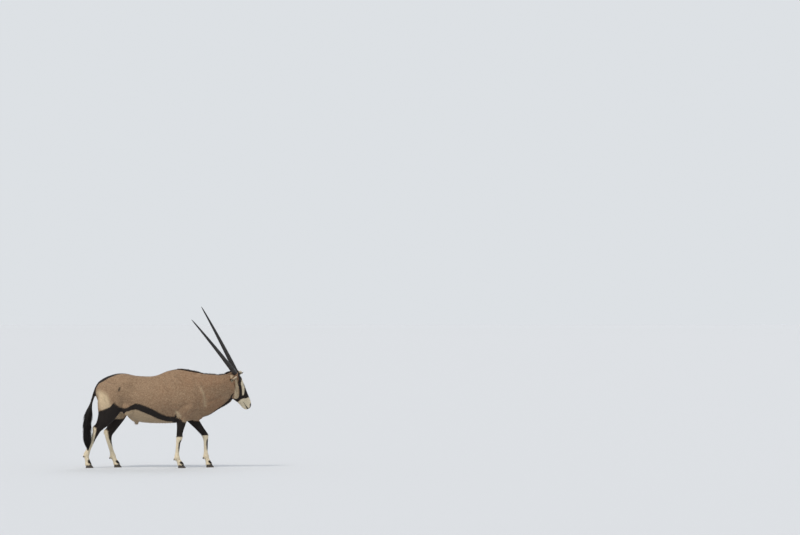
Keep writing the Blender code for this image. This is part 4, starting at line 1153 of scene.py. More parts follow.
def with_face(places, normals):
    """The skin's points with lids, nostrils, lips and the line of the mouth formed."""
    local = to_head(places)
    ways = normals @ HEAD_TURN
    for side, way in SIDES.items():
        middle, long, up, out = eye_axes(side)
        offset = local - middle
        reach = lengths(offset)
        along, rise, depth = offset @ long, offset @ up, offset @ out
        share = opening_share(along, rise)
        near = (reach < EYE_REACH) & (depth > 0.2 * EYE_RADIUS)
        target = EYE_RADIUS - EYE_INSET + (EYE_INSET + LID) * ramp(share, 0.93, 1.10)
        for height, place, width in LID_FOLDS:
            target += height * bell((share, place, width))
        wanted = reach + (target - reach) * ((1 - ramp(share, 1.45, 2.25)) * near)
        local = middle + offset * (wanted / np.maximum(reach, 1e-6))[:, None]
        pit = bell((along, EYE_OPENING[0] * 1.12, 0.006), (rise, 0, 0.004)) * near
        local -= np.outer(pit * 0.002, out)

        place = np.array(sided(NOSTRIL, side))
        turn = Matrix.Rotation(math.radians(35 * way), 4, "X") @ pitch(35)
        share = lengths((local - place) @ np.array(turn.to_3x3()) / np.array(NOSTRIL_RADII))
        slit = 1 - ramp(share, 0.55, 1.15)
        local += np.outer(slit * NOSTRIL_DEPTH, np.array((-0.75, -0.45 * way, -0.10)))
        rim = bell((share, 1.40, 0.30)) * (local[:, 0] > 0.40)
        local += ways * (rim * NOSTRIL_RIM)[:, None]

    gap = local[:, 2] - mouth_level(local[:, 0])
    along = ramp(local[:, 0], MOUTH_CORNER.x - 0.006, MOUTH_CORNER.x + 0.010)
    depth, half = LIP_GROOVE
    local -= ways * (depth * bell((gap, 0, half)) * along)[:, None]
    height, place, half = LIP_SWELL
    local += ways * (height * bell((np.abs(gap), place, half)) * along)[:, None]
    depth, half = LIP_SPLIT
    split = bell((local[:, 1], 0, half)) * ramp(local[:, 0], 0.425, 0.440) * (gap > 0)
    local -= ways * (depth * split)[:, None]
    return from_head(local)


def refined(thing, turns):
    """Finer faces round the eyes, the nostrils and the mouth."""
    with opened(thing.data) as bm:
        for turn in range(turns):
            places = np.array([vertex.co for vertex in bm.verts])
            local = to_head(places)
            spare = 0.006 * (turns - 1 - turn)
            gap = np.abs(local[:, 2] - mouth_level(local[:, 0]))
            wanted = (gap < 0.010 + spare) & (local[:, 0] > MOUTH_CORNER.x - 0.015 - spare)
            for side in SIDES:
                for middle, radius in ((EYE_PLACE, 0.034), (NOSTRIL, 0.022)):
                    wanted |= lengths(local - np.array(sided(middle, side))) < radius + spare
            wanted &= places[:, 0] > 0.74
            bm.verts.ensure_lookup_table()
            edges = {edge for i in np.flatnonzero(wanted) for edge in bm.verts[i].link_edges}
            bmesh.ops.subdivide_edges(bm, edges=list(edges), cuts=1, smooth=0.6, use_grid_fill=True)
            bmesh.ops.triangulate(bm, faces=[face for face in bm.faces if len(face.verts) > 3])


def noise(places, size, seed=0):
    """Smooth waves of about that size, from -1 to 1, that differ with the seed."""
    draw = np.random.default_rng(SEED + seed)
    total = np.zeros(len(places))
    for _ in range(6):
        way = draw.normal(size=3)
        way *= 2 * math.pi / (size * np.linalg.norm(way)) * draw.uniform(0.7, 1.6)
        total += np.sin(places @ way + draw.uniform(0, 2 * math.pi))
    return total / 3.5


def comb(flat, rows, reach):
    """The way the hair lies at places seen from the side, blended from the rows round them."""
    way = np.zeros((len(flat), 3))
    total = np.full(len(flat), 1e-9)
    for x, z, run, fall in rows:
        gap = (flat[:, 0] - x) ** 2 + (flat[:, 1] - z) ** 2
        share = np.exp(-gap / (2 * reach**2)) + 1e-9
        way += np.outer(share, (run, 0.0, fall))
        total += share
    return way / total[:, None]


def combed(places, local, head):
    """The way the hair lies at each place, before it is laid on the surface."""
    way = comb(places[:, (0, 2)], TRUNK_COMB, TRUNK_COMB_REACH)
    for rows, _, _ in LEGS.values():
        _, _, _, down, near = leg_shares(places, rows)
        share = (near * (1 - ramp(places[:, 2], 0.55, 0.72)))[:, None]
        way = way * (1 - share) + down * share
    tail = np.array(TAIL_ROWS)
    share = (1 - ramp(stroke(places, TAIL_ROWS), 0.006, 0.040))[:, None]
    fall = np.gradient(tail[:, :3], axis=0)
    down = np.stack([np.interp(-places[:, 2], -tail[:, 2], fall[:, i]) for i in range(3)], axis=1)
    way = way * (1 - share) + down / lengths(down)[:, None] * share
    face = comb(local[:, (0, 2)], HEAD_COMB, HEAD_COMB_REACH) @ HEAD_TURN.T
    return way * (1 - head[:, None]) + face * head[:, None]


def unit(ways):
    """The ways at length 1."""
    return ways / np.maximum(lengths(ways), 1e-9)[:, None]


def laid(ways, normals):
    """The ways turned into the surface."""
    return unit(ways - normals * np.sum(ways * normals, axis=1)[:, None])


def locks(name, spine, across, out, widths, thick):
    """Joined closed locks with three sides and a point. Spine is an array of lock, step and place.

    Across and out are the ways of each lock's width and back; widths and thick hold one value per step.
    What comes back is the object and the number of points in each lock.
    """
    count, steps = spine.shape[0], spine.shape[1] - 1
    rings = spine[:, :steps, None, :] + np.zeros((1, 1, 3, 1))
    rings[:, :, 0] -= across[:, None] * widths[:, :, None] / 2
    rings[:, :, 1] += across[:, None] * widths[:, :, None] / 2
    rings[:, :, 2] += out[:, None] * thick[:, :, None]
    points = np.concatenate([rings.reshape(count, -1, 3), spine[:, steps:]], axis=1)
    faces = [(0, 1, 2)]
    for step in range(steps - 1):
        low, high = 3 * step, 3 * step + 3
        for a, b in ((0, 1), (1, 2), (2, 0)):
            faces += [(low + a, high + a, low + b), (low + b, high + a, high + b)]
    last, tip = 3 * steps - 3, 3 * steps
    faces += [(last + a, tip, last + b) for a, b in ((0, 1), (1, 2), (2, 0))]
    size = 3 * steps + 1
    corners = (np.array(faces)[None] + size * np.arange(count)[:, None, None]).reshape(-1, 3)
    mesh = bpy.data.meshes.new(name)
    mesh.vertices.add(count * size)
    mesh.vertices.foreach_set("co", points.ravel())
    mesh.loops.add(corners.size)
    mesh.loops.foreach_set("vertex_index", corners.ravel())
    mesh.polygons.add(len(corners))
    mesh.polygons.foreach_set("loop_start", np.arange(0, corners.size, 3))
    mesh.update(calc_edges=True)
    along = np.concatenate([np.repeat(np.arange(steps) / steps, 3), (1.0,)])
    hold(mesh, "along", np.tile(along, count))
    return placed(name, mesh), size


def spread(mesh, size, **values):
    """Gives all points of each lock its own values."""
    for name, value in values.items():
        hold(mesh, name, np.repeat(value, size))


def lit_as(mesh, size, normals, across, lean):
    """Shades each lock nearly as the skin under it, a little rounded from side to side."""
    turned = np.repeat(normals[:, None], size, axis=1)
    for corner in range(size - 1):
        if corner % 3 < 2:
            turned[:, corner] += across * (lean if corner % 3 else -lean)
    mesh.shade_smooth()
    mesh.normals_split_custom_set_from_vertices(unit(turned.reshape(-1, 3)))


class Unwrap:
    """A flat plan of the skin's own shape, to find where on it any place lies."""

    def __init__(self, thing):
        copy = placed("plan", thing.data.copy())
        thinned(copy, PLAN_TRIANGLES, np.ones(len(copy.data.vertices)))
        bpy.context.view_layer.objects.active = copy
        bpy.ops.object.select_all(action="DESELECT")
        copy.select_set(True)
        bpy.ops.object.mode_set(mode="EDIT")
        bpy.ops.mesh.select_all(action="SELECT")
        bpy.ops.uv.smart_project(angle_limit=math.radians(70), island_margin=0.002)
        bpy.ops.object.mode_set(mode="OBJECT")
        mesh = copy.data
        self.points = places_of(mesh) - np.array(BODY_SHIFT)
        self.corners = read(mesh.loops, "vertex_index", 1, int).reshape(-1, 3)
        self.plan = read(mesh.uv_layers.active.data, "uv", 2).reshape(-1, 3, 2)
        self.tree = BVHTree.FromPolygons(self.points.tolist(), self.corners.tolist())
        bpy.data.objects.remove(copy)

    def at(self, places):
        """The place on the plan of each place on the skin."""
        found = [self.tree.find_nearest(place) for place in places]
        faces = np.array([hit[2] for hit in found])
        near = np.array([hit[0] for hit in found])
        a, b, c = (self.points[self.corners[faces, i]] for i in range(3))
        ab, ac, ap = b - a, c - a, near - a
        dots = [np.sum(p * q, axis=1) for p, q in ((ab, ab), (ab, ac), (ac, ac), (ap, ab), (ap, ac))]
        scale = np.maximum(dots[0] * dots[2] - dots[1] ** 2, 1e-18)
        v = (dots[2] * dots[3] - dots[1] * dots[4]) / scale
        w = (dots[0] * dots[4] - dots[1] * dots[3]) / scale
        shares = np.stack([1 - v - w, v, w], axis=1)
        return np.sum(self.plan[faces] * shares[:, :, None], axis=1)


@functools.cache
def skin_plan():
    """The flat plan of the skin, made when it is first asked for."""
    return Unwrap(bpy.data.objects["skin"])


def patches(mesh, size, spots):
    """A map where each lock is a small patch at its spot, stretched to fill the whole map."""
    low, high = spots.min(axis=0), spots.max(axis=0)
    spots = 0.004 + (spots - low) / (high - low) * (0.992 - PATCH)
    steps = (size - 1) // 3
    corner = np.zeros((size, 2))
    for step in range(steps):
        corner[3 * step : 3 * step + 3] = [(x, step / steps) for x in (0.0, 1.0, 0.5)]
        corner[3 * step + 2, 1] += 0.3 / steps
    corner[-1] = (0.5, 1.0)
    points = (spots[:, None] + corner[None] * PATCH).reshape(-1, 2)
    index = read(mesh.loops, "vertex_index", 1, int).ravel()
    mesh.uv_layers.new(name="OFBake").data.foreach_set("uv", points[index].ravel())


def add(tree, kind, inputs=None, **settings):
    """A new node of that kind, with its settings, and each input a value or a link."""
    made = tree.nodes.new(kind)
    for name, value in settings.items():
        setattr(made, name, value)
    for name, value in (inputs or {}).items():
        if isinstance(value, bpy.types.NodeSocket):
            tree.links.new(value, made.inputs[name])
        else:
            made.inputs[name].default_value = value
    return made


class Surface:
    """A material in the making, and short names for the nodes that it uses."""

    def __init__(self, name, **shader):
        self.material = bpy.data.materials.new(name)
        self.material.use_nodes = True
        self.tree = self.material.node_tree
        self.shader = self.tree.nodes["Principled BSDF"]
        for key, value in shader.items():
            self.shader.inputs[key.replace("_", " ")].default_value = value

    def held(self, name, output="Fac"):
        """What each point of the mesh holds under that name."""
        return add(self.tree, "ShaderNodeAttribute", attribute_name=name).outputs[output]

    def where(self):
        """The place on the object."""
        return add(self.tree, "ShaderNodeTexCoord").outputs["Object"]

    def noise(self, vector, scale, detail=2.0, roughness=0.5):
        """Cloudy noise from 0 to 1."""
        keys = {"Vector": vector, "Scale": scale, "Detail": detail, "Roughness": roughness}
        return add(self.tree, "ShaderNodeTexNoise", keys).outputs["Fac"]

    def lines(self, value, scale, detail):
        """Noise that changes with one value only."""
        keys = {"W": value, "Scale": scale, "Detail": detail}
        return add(self.tree, "ShaderNodeTexNoise", keys, noise_dimensions="1D").outputs["Fac"]

    def maths(self, operation, *values):
        """What one math node makes of the values."""
        return add(self.tree, "ShaderNodeMath", dict(enumerate(values)), operation=operation).outputs[0]

    def between(self, value, low, high, start=0.0, end=1.0):
        """The value moved from between low and high to between start and end."""
        keys = {"Value": value, "From Min": low, "From Max": high, "To Min": start, "To Max": end}
        return add(self.tree, "ShaderNodeMapRange", keys).outputs["Result"]

    def mixed(self, share, below, above):
        """One colour laid over another, as much as share says."""
        below, above = (
            colour if isinstance(colour, bpy.types.NodeSocket) else rgba(colour) for colour in (below, above)
        )
        keys = {0: share, 6: below, 7: above}
        return add(self.tree, "ShaderNodeMix", keys, data_type="RGBA").outputs[2]

    def brightened(self, colour, value):
        """The colour made lighter or darker by value."""
        return add(self.tree, "ShaderNodeHueSaturation", {"Color": colour, "Value": value}).outputs["Color"]

    def bump(self, height, strength, distance, **below):
        """The surface's normal with that relief, on the normal below if there is one."""
        keys = {"Height": height, "Strength": strength, "Distance": distance, **below}
        return add(self.tree, "ShaderNodeBump", keys).outputs[0]

    def done(self, **sockets):
        """The material, with those sockets wired to its shader."""
        for name, socket in sockets.items():
            self.tree.links.new(socket, self.shader.inputs[name.replace("_", " ")])
        return self.material


def rgba(colour):
    """The colour with full cover."""
    return (*colour, 1.0)


def mark_share(look, mark, shake, low=-0.45, high=0.45):
    """How much of a mark's colour shows, with a hairy edge."""
    return look.between(look.maths("ADD", look.held(mark), shake), low, high)


def coat_colour(look, where):
    """The coat's colour from its marks, and the shake of their edges."""
    tone = colours()
    forward = add(look.tree, "ShaderNodeSeparateXYZ", {0: where}).outputs["X"]
    cloud = look.noise(where, 5.0, 4.0)
    fleck = look.noise(where, 60.0, 5.0, 0.65)
    shake = look.between(look.noise(where, 150.0, 3.0), 0.3, 0.7, -0.55, 0.55)
    warm = look.maths("MULTIPLY", look.between(forward, -0.35, 0.65), look.between(cloud, 0.35, 0.68))
    base = look.mixed(warm, tone.fawn, tone.russet)
    base = look.mixed(look.between(fleck, 0.42, 0.66, 0.0, 0.30), base, tone.cream)
    base = look.mixed(mark_share(look, "pale", shake, -0.9, 0.7), base, tone.cream)
    base = look.mixed(mark_share(look, "white", shake), base, tone.white)
    base = look.mixed(look.between(fleck, 0.46, 0.74, 0.0, 0.22), base, tone.russet)
    return look.mixed(mark_share(look, "dark", shake), base, tone.black), shake


def skin_material():
    """Short-haired hide: matt, with the fine grain of hair that lies flat, and a damp dark nose pad."""
    look = Surface("short_haired_hide", Roughness=0.72, Specular_IOR_Level=0.30, Sheen_Weight=0.06)
    where = look.where()
    base, shake = coat_colour(look, where)
    pad = mark_share(look, "bare", shake, -0.3, 0.3)
    hair = look.noise(look.held("grain", "Vector"), 420.0, 3.0)
    pebble = add(look.tree, "ShaderNodeTexVoronoi", {"Vector": where, "Scale": 520.0}).outputs["Distance"]
    relief_of_pad = look.maths("MULTIPLY", pebble, pad)
    return look.done(
        Base_Color=look.mixed(pad, base, colours().bare),
        Roughness=look.between(pad, 0.0, 1.0, 0.72, 0.36),
        Normal=look.bump(relief_of_pad, 0.5, 0.0010, Normal=look.bump(hair, 0.45, 0.0012)),
    )


def coat_material():
    """Short oryx hair: matt with a faint sheen where it lies flat, each tuft a little lighter or darker."""
    look = Surface("short_hair", Roughness=0.66, Specular_IOR_Level=0.30, Sheen_Weight=0.08)
    base, _ = coat_colour(look, look.where())
    tuft = look.between(look.held("shade"), 0.0, 1.0, 0.72, 1.25)
    tip = look.between(look.held("along"), 0.0, 1.0, 0.82, 1.10)
    return look.done(Base_Color=look.brightened(base, look.maths("MULTIPLY", tuft, tip)))


def long_hair_material(name, root, tip, glance):
    """Long coarse hair: darker at its root, with a soft gloss along each lock."""
    look = Surface(name, Roughness=glance, Specular_IOR_Level=0.28)
    base = look.mixed(look.held("along"), root, tip)
    lock = look.between(look.held("shade"), 0.0, 1.0, 0.55, 1.5)
    return look.done(Base_Color=look.brightened(base, lock))


def horn_material():
    """Horn sheath: keratin grown in rings, dusty in the hollows and polished to a gloss at the tip."""
    tone = colours()
    look = Surface("ringed_horn", Specular_IOR_Level=0.5)
    fibre = look.noise(look.held("grain", "Vector"), 300.0, 5.0)
    worn = look.noise(look.where(), 45.0, 6.0)
    hollow = look.between(look.held("ridge"), 0.55, 0.0, 0.0, 0.55)
    dust = look.maths("MULTIPLY", hollow, look.between(worn, 0.40, 0.62))
    base = look.mixed(dust, tone.horn, tone.horn_worn)
    return look.done(
        Base_Color=look.brightened(base, look.between(fibre, 0.3, 0.7, 0.7, 1.35)),
        Roughness=look.between(look.held("along"), 0.3, 0.8, 0.52, 0.26),
        Normal=look.bump(fibre, 0.35, 0.0008),
    )


def ear_material(name):
    """Ear hide and hair: fawn outside with a pale rim and black tip, dark streaks inside."""
    tone = colours()
    look = Surface(name, Roughness=0.7, Specular_IOR_Level=0.3)
    base = tone.fawn
    for mark, colour in (
        ("inner", linear("#8C7F74")),
        ("streak", tone.black),
        ("rim", tone.white),
        ("tip", tone.black),
    ):
        base = look.mixed(look.held(mark), base, colour)
    fleck = look.noise(look.where(), 320.0, 4.0)
    base = look.brightened(base, look.between(fleck, 0.3, 0.7, 0.78, 1.2))
    return look.done(Base_Color=base, Normal=look.bump(fleck, 0.4, 0.0010))


def eye_material():
    """Eye: wet cornea over a dark brown iris with a level black pupil."""
    look = Surface(
        "wet_eye", Roughness=0.05, Specular_IOR_Level=0.4, Coat_Weight=0.15, Coat_Roughness=0.03
    )
    brown = look.mixed(look.lines(look.held("spoke"), 9.0, 4.0), colours().iris, linear("#4A2C18"))
    base = look.mixed(look.held("iris"), linear("#2A1C16"), brown)
    return look.done(Base_Color=look.mixed(look.held("pupil"), base, linear("#040405")))


def hoof_material():
    """Hoof horn: slate black keratin with growth lines round it, scuffed pale near the ground."""
    look = Surface("hoof_horn", Roughness=0.48, Specular_IOR_Level=0.45)
    where = look.where()
    rise = add(look.tree, "ShaderNodeSeparateXYZ", {0: where}).outputs["Z"]
    level = look.maths("MULTIPLY_ADD", look.noise(where, 40.0), 0.006, rise)
    low = look.between(level, 0.030, 0.002, 0.08, 0.7)
    scuff = look.maths("MULTIPLY", low, look.noise(where, 120.0, 5.0))
    return look.done(
        Base_Color=look.mixed(scuff, colours().hoof, linear("#7A6D5D")),
        Normal=look.bump(look.lines(level, 420.0, 2.0), 0.5, 0.0010),
    )


def coat_state(places):
    """Marks at those places, and what they and the head's frame give."""
    local = to_head(places)
    return marks(places), local, on_head(places, local)


def skin_arrays():
    """The skin's points, normals, triangles and their areas, in body coordinates."""
    mesh = bpy.data.objects["skin"].data
    points = places_of(mesh) - np.array(BODY_SHIFT)
    mesh.calc_loop_triangles()
    corners = read(mesh.loop_triangles, "vertices", 3, int)
    a, b, c = (points[corners[:, i]] for i in range(3))
    areas = lengths(np.cross(b - a, c - a)) / 2
    return points, normals_of(mesh), corners, areas


def sampled(draw, points, normals, corners, areas, count):
    """Places spread evenly over the triangles by their weighted areas, with their normals."""
    total = np.cumsum(areas)
    wanted = (np.arange(count) + draw.uniform(0, 1, count)) / count * total[-1]
    faces = np.minimum(np.searchsorted(total, wanted), len(corners) - 1)
    u, v = draw.uniform(0, 1, count), draw.uniform(0, 1, count)
    over = u + v > 1
    u, v = np.where(over, 1 - u, u), np.where(over, 1 - v, v)
    shares = np.stack([1 - u - v, u, v], axis=1)[:, :, None]
    places = np.sum(points[corners[faces]] * shares, axis=1)
    return places, unit(np.sum(normals[corners[faces]] * shares, axis=1))


class GEMSBOK_OT_skin(bpy.types.Operator):
    """Fuses the animal's forms into one skin and shapes its muscles, folds and face"""

    bl_idname = "gemsbok.skin"
    bl_label = "Skin"

    def execute(self, context):
        thing = fused(body_forms() + head_forms(), sizes().skin_grain)
        mesh = self.evened(thing)
        places, normals = places_of(mesh), normals_of(mesh)
        head = on_head(places, to_head(places))
        foot = 1 - ramp(places[:, 2], 0.30, 0.55)
        depth = sizes().coat_depth * (1 - 0.65 * np.maximum(head, foot))
        move_to(mesh, places + normals * (relief(places, normals) - depth)[:, None])
        refined(thing, 2)
        move_to(mesh, with_face(places_of(mesh), normals_of(mesh)))
        places = places_of(mesh)
        found, local, head = coat_state(places)
        low = (1 - ramp(places[:, 2], 0.45, 0.62))[:, None]
        grain = places * np.array((0.12, 1, 1)) * (1 - low) + places * np.array((1, 1, 0.12)) * low
        grain = grain * (1 - head[:, None]) + local * np.array((0.15, 1, 1)) * head[:, None]
        for name, values in {**found, "grain": grain}.items():
            hold(mesh, name, values)
        legs = [f"{leg}_{part}" for leg in LEGS for part in ("upper", "lower")]
        finish(thing, skin_material(), "hide", "torso", "neck", "head", *legs)
        return {"FINISHED"}

    def evened(self, thing):
        """Smooths the trunk most and the lower legs least, and leaves the head and feet their fine faces."""
        places = places_of(thing.data)
        trunk = ramp(places[:, 2], 0.42, 0.66) * (1 - ramp(places[:, 0], 0.70, 0.80))
        trunk *= ramp(places[:, 0], -0.90, -0.84)
        smoothed(thing, 36, trunk)
        smoothed(thing, 5, 0.25 + 0.75 * ramp(places[:, 2], 0.045, 0.10))
        places = places_of(thing.data)
        keep = np.maximum(on_head(places, to_head(places)), 0.75 * (1 - ramp(places[:, 2], 0.30, 0.60)))
        thinned(thing, SKIN_TRIANGLES, 1 - 0.9 * keep)
        return thing.data


class GEMSBOK_OT_coat(bpy.types.Operator):
    """Lays short overlapping tufts of hair over the whole skin, along the lie of the coat"""

    bl_idname = "gemsbok.coat"
    bl_label = "Coat"

    def zones(self, middles, head):
        """Which triangles belong to each zone of the coat."""
        x, z = middles[:, 0], middles[:, 2]
        near = [leg_shares(middles, rows)[4] for rows, _, _ in LEGS.values()]
        leg = np.any(near, axis=0) & (z < 0.56)
        trunk = ~leg & (head <= 0.5)
        return {
            "head": head > 0.5,
            "legs": leg & (head <= 0.5),
            "neck": (x > 0.40) & trunk,
            "shoulders": (x > -0.20) & (x <= 0.40) & trunk,
            "haunches": (x <= -0.20) & trunk,
        }

    def haired(self, middles, bare, local, head):
        """1 where hair grows, and 0 on the eyes, the nose pad, the mouth's line and the hooves."""
        grown = np.ones(len(middles))
        for side in SIDES:
            middle, long, up, _ = eye_axes(side)
            offset = local - middle
            share = opening_share(offset @ long, offset @ up)
            grown[(lengths(offset) < EYE_REACH) & (share < 1.12)] = 0
        gap = np.abs(local[:, 2] - mouth_level(local[:, 0]))
        mouth = (head > 0.5) & (gap < 0.0028) & (local[:, 0] > 0.338)
        grown[mouth | (bare > 0.3) | (middles[:, 2] < 0.036)] = 0
        return grown

    def execute(self, context):
        draw = np.random.default_rng(SEED)
        points, normals, corners, areas = skin_arrays()
        tree = BVHTree.FromPolygons(points.tolist(), corners.tolist())
        hair = coat_material()
        middles = points[corners].mean(axis=1)
        found, local, head = coat_state(middles)
        zones = self.zones(middles, head)
        grown = self.haired(middles, found["bare"], local, head)
        fine = 1 + 1.2 * ramp(local[:, 0], 0.20, 0.36) * head
        low = 1 + 0.9 * (1 - ramp(middles[:, 2], 0.15, 0.35))
        for zone, (count, length, width, lift) in COAT_ZONES.items():
            weight = areas * zones[zone] * grown * fine * low
            roots, out = sampled(draw, points, normals, corners, weight, count)
            found, inside, share = coat_state(roots)
            reach = length * draw.uniform(0.75, 1.2, count)
            if zone == "head":
                reach *= 1.25 - 0.75 * ramp(inside[:, 0], 0.05, 0.40)
            if zone == "legs":
                reach *= 0.65 + 0.5 * ramp(roots[:, 2], 0.15, 0.50)
            way = laid(combed(roots, inside, share), out)
            turn = 0.16 * noise(roots, 0.09) + 0.20 * draw.normal(size=count)
            way = laid(way + np.cross(out, way) * turn[:, None], out)
            raised = lift * draw.uniform(0.4, 1.5, count) * (1 + 0.4 * noise(roots, 0.03, 1))
            hits = [tree.find_nearest(place) for place in roots + way * reach[:, None]]
            tips = np.array([hit[0] for hit in hits]) + np.array([hit[1] for hit in hits]) * raised[:, None]
            wide = (width * draw.uniform(0.7, 1.25, count))[:, None]
            across = unit(np.cross(tips - roots, out))
            spine = np.stack([roots - out * TUFT_SINK, tips], axis=1)
            thing, size = locks(f"coat_{zone}", spine, across, out, wide, wide * 0.14 + 0.0005)
            shade = 0.5 + 0.25 * draw.normal(size=count) * 0.8 + 0.12 * noise(roots, 0.06, 2)
            spread(thing.data, size, shade=np.clip(shade, 0, 1), **found)
            patches(thing.data, size, skin_plan().at(roots))
            finish(thing, hair, "hide")
            lit_as(thing.data, size, out, across, 0.35)
        return {"FINISHED"}


def curled(roots, ways, length, sag, steps):
    """Spines that start along ways and bend by sag on their way to the tip."""
    t = np.linspace(0, 1, steps + 1)[None, :, None]
    return roots[:, None] + (ways[:, None] * t + sag[:, None] * t**2) * length[:, None, None]


class GEMSBOK_OT_mane(bpy.types.Operator):
    """Sets the short mane along the crest and the tufts at sheath, elbows, fetlocks, coronets and chin"""

    bl_idname = "gemsbok.mane"
    bl_label = "Mane and fringes"

    def fringe(self, name, roots, out, ways, length, width, sag, hair):
        """One piece of longer locks on the skin."""
        draw = np.random.default_rng(SEED + len(name))
        count = len(roots)
        spine = curled(roots - out * 0.003, unit(ways), length, sag, 4)
        across = unit(np.cross(ways, out) + 0.25 * draw.normal(size=(count, 3)))
        back = unit(np.cross(across, ways))
        taper = np.array((0.8, 1.0, 0.8, 0.45))
        widths = width * draw.uniform(0.7, 1.3, count)[:, None] * taper
        thing, size = locks(name, spine, across, back, widths, widths * 0.45)
        spread(thing.data, size, shade=draw.uniform(0, 1, count), **marks(roots))
        patches(thing.data, size, skin_plan().at(roots))
        finish(thing, hair, "hair")
        lit_as(thing.data, size, out, across, 0.5)

    def execute(self, context):
        draw = np.random.default_rng(SEED + 1)
        points, normals, corners, areas = skin_arrays()
        middles = points[corners].mean(axis=1)
        black = long_hair_material("mane_hair", colours().black, linear("#2E211A"), 0.50)
        crest = top_gap(middles)
        upward = normals[corners[:, 0]][:, 2]
        weight = areas * (1 - ramp(crest, -0.006, 0.006)) * (upward > 0.3) * (middles[:, 0] > 0.13)
        count = sizes().mane_locks
        roots, out = sampled(draw, points, normals, corners, weight, count)
        full = ramp(roots[:, 0], 0.12, 0.30) * (1 - 0.30 * ramp(roots[:, 0], 0.68, 0.80))
        length = sizes().mane_length * draw.uniform(0.7, 1.1, count) * (0.45 + 0.55 * full)
        ways = out * 0.55 + np.array((-0.75, 0.0, 0.0)) + 0.14 * draw.normal(size=(count, 3))
        sag = np.tile((-0.15, 0.0, -0.22), (count, 1))
        self.fringe("mane", roots, out, ways, length, MANE_WIDTH, sag, black)
        self.body_fringes(points, normals, corners, areas, middles)
        return {"FINISHED"}

    def fringe_shares(self, middles):
        """Where each fringe grows, and how densely."""
        _, local, head = coat_state(middles)
        x, y, z = middles.T
        legs = np.zeros(len(middles))
        coronets = np.zeros(len(middles))
        for rows, joint, fetlock in LEGS.values():
            step, fore, _, _, near = leg_shares(middles, rows)
            rear = near * (fore < -0.35)
            legs += rear * bell((step - fetlock, 0.3, 0.6))
            legs += 0.5 * rear * bell((step - joint, -1.2, 0.8))
            coronets += near * (np.abs(z - 0.049) < 0.007)
        return {
            "legs": legs,
            "coronets": coronets,
            "sheath": bell((x, -0.352, 0.022), (z, 0.538, 0.02)) * (np.abs(y) < 0.02),
            "elbows": bell((x, 0.115, 0.03), (z, 0.60, 0.03)) * (np.abs(y) > 0.1),
            "belly": (np.abs(y) < 0.05) * (z < 0.56) * (np.abs(x + 0.05) < 0.30),
            "throat": (1 - ramp(throat_gap(middles), 0.0, 0.012)) * (head < 0.5),
            "chin": head
            * ramp(local[:, 0], 0.33, 0.42)
            * (local[:, 2] < mouth_level(local[:, 0]) - 0.008),
        }

    def body_fringes(self, points, normals, corners, areas, middles):
        """Longer hair of the coat's own colour where it stands off the body."""
        draw = np.random.default_rng(SEED + 2)
        hair = bpy.data.materials["short_hair"]
        shares = self.fringe_shares(middles)
        for name, (count, length, width, pull) in FRINGES.items():
            roots, out = sampled(draw, points, normals, corners, areas * shares[name], count)
            _, local, head = coat_state(roots)
            way = laid(combed(roots, local, head), out) + out * 0.28 + 0.12 * draw.normal(size=(count, 3))
            reach = length * draw.uniform(0.6, 1.15, count)
            sag = np.tile(np.array(pull) * 0.35, (count, 1))
            self.fringe(f"fringe_{name}", roots, out, way, reach, width, sag, hair)


def tail_spine(z):
    """The tail's middle line at a height, continued below the bony part by its hair."""
    dense = np.array(catmull(TAIL_ROWS, 3))
    end = dense[-1]
    share = np.maximum((end[2] - z) / (end[2] - TAIL_TIP_Z), 0)
    x = np.interp(-z, -dense[:, 2], dense[:, 0]) + 0.012 * share
    y = np.interp(-z, -dense[:, 2], dense[:, 1]) - 0.018 * share
    return np.stack([x, y, z], axis=-1)


def brush_half(z):
    """The half width of the tail's brush at a height."""
    swell = ramp(TAIL_HAIR_TOP - z, 0.05, 0.26) * ramp(z, TAIL_TIP_Z - 0.06, 0.34)
    return BRUSH_NECK + (BRUSH_HALF - BRUSH_NECK) * swell


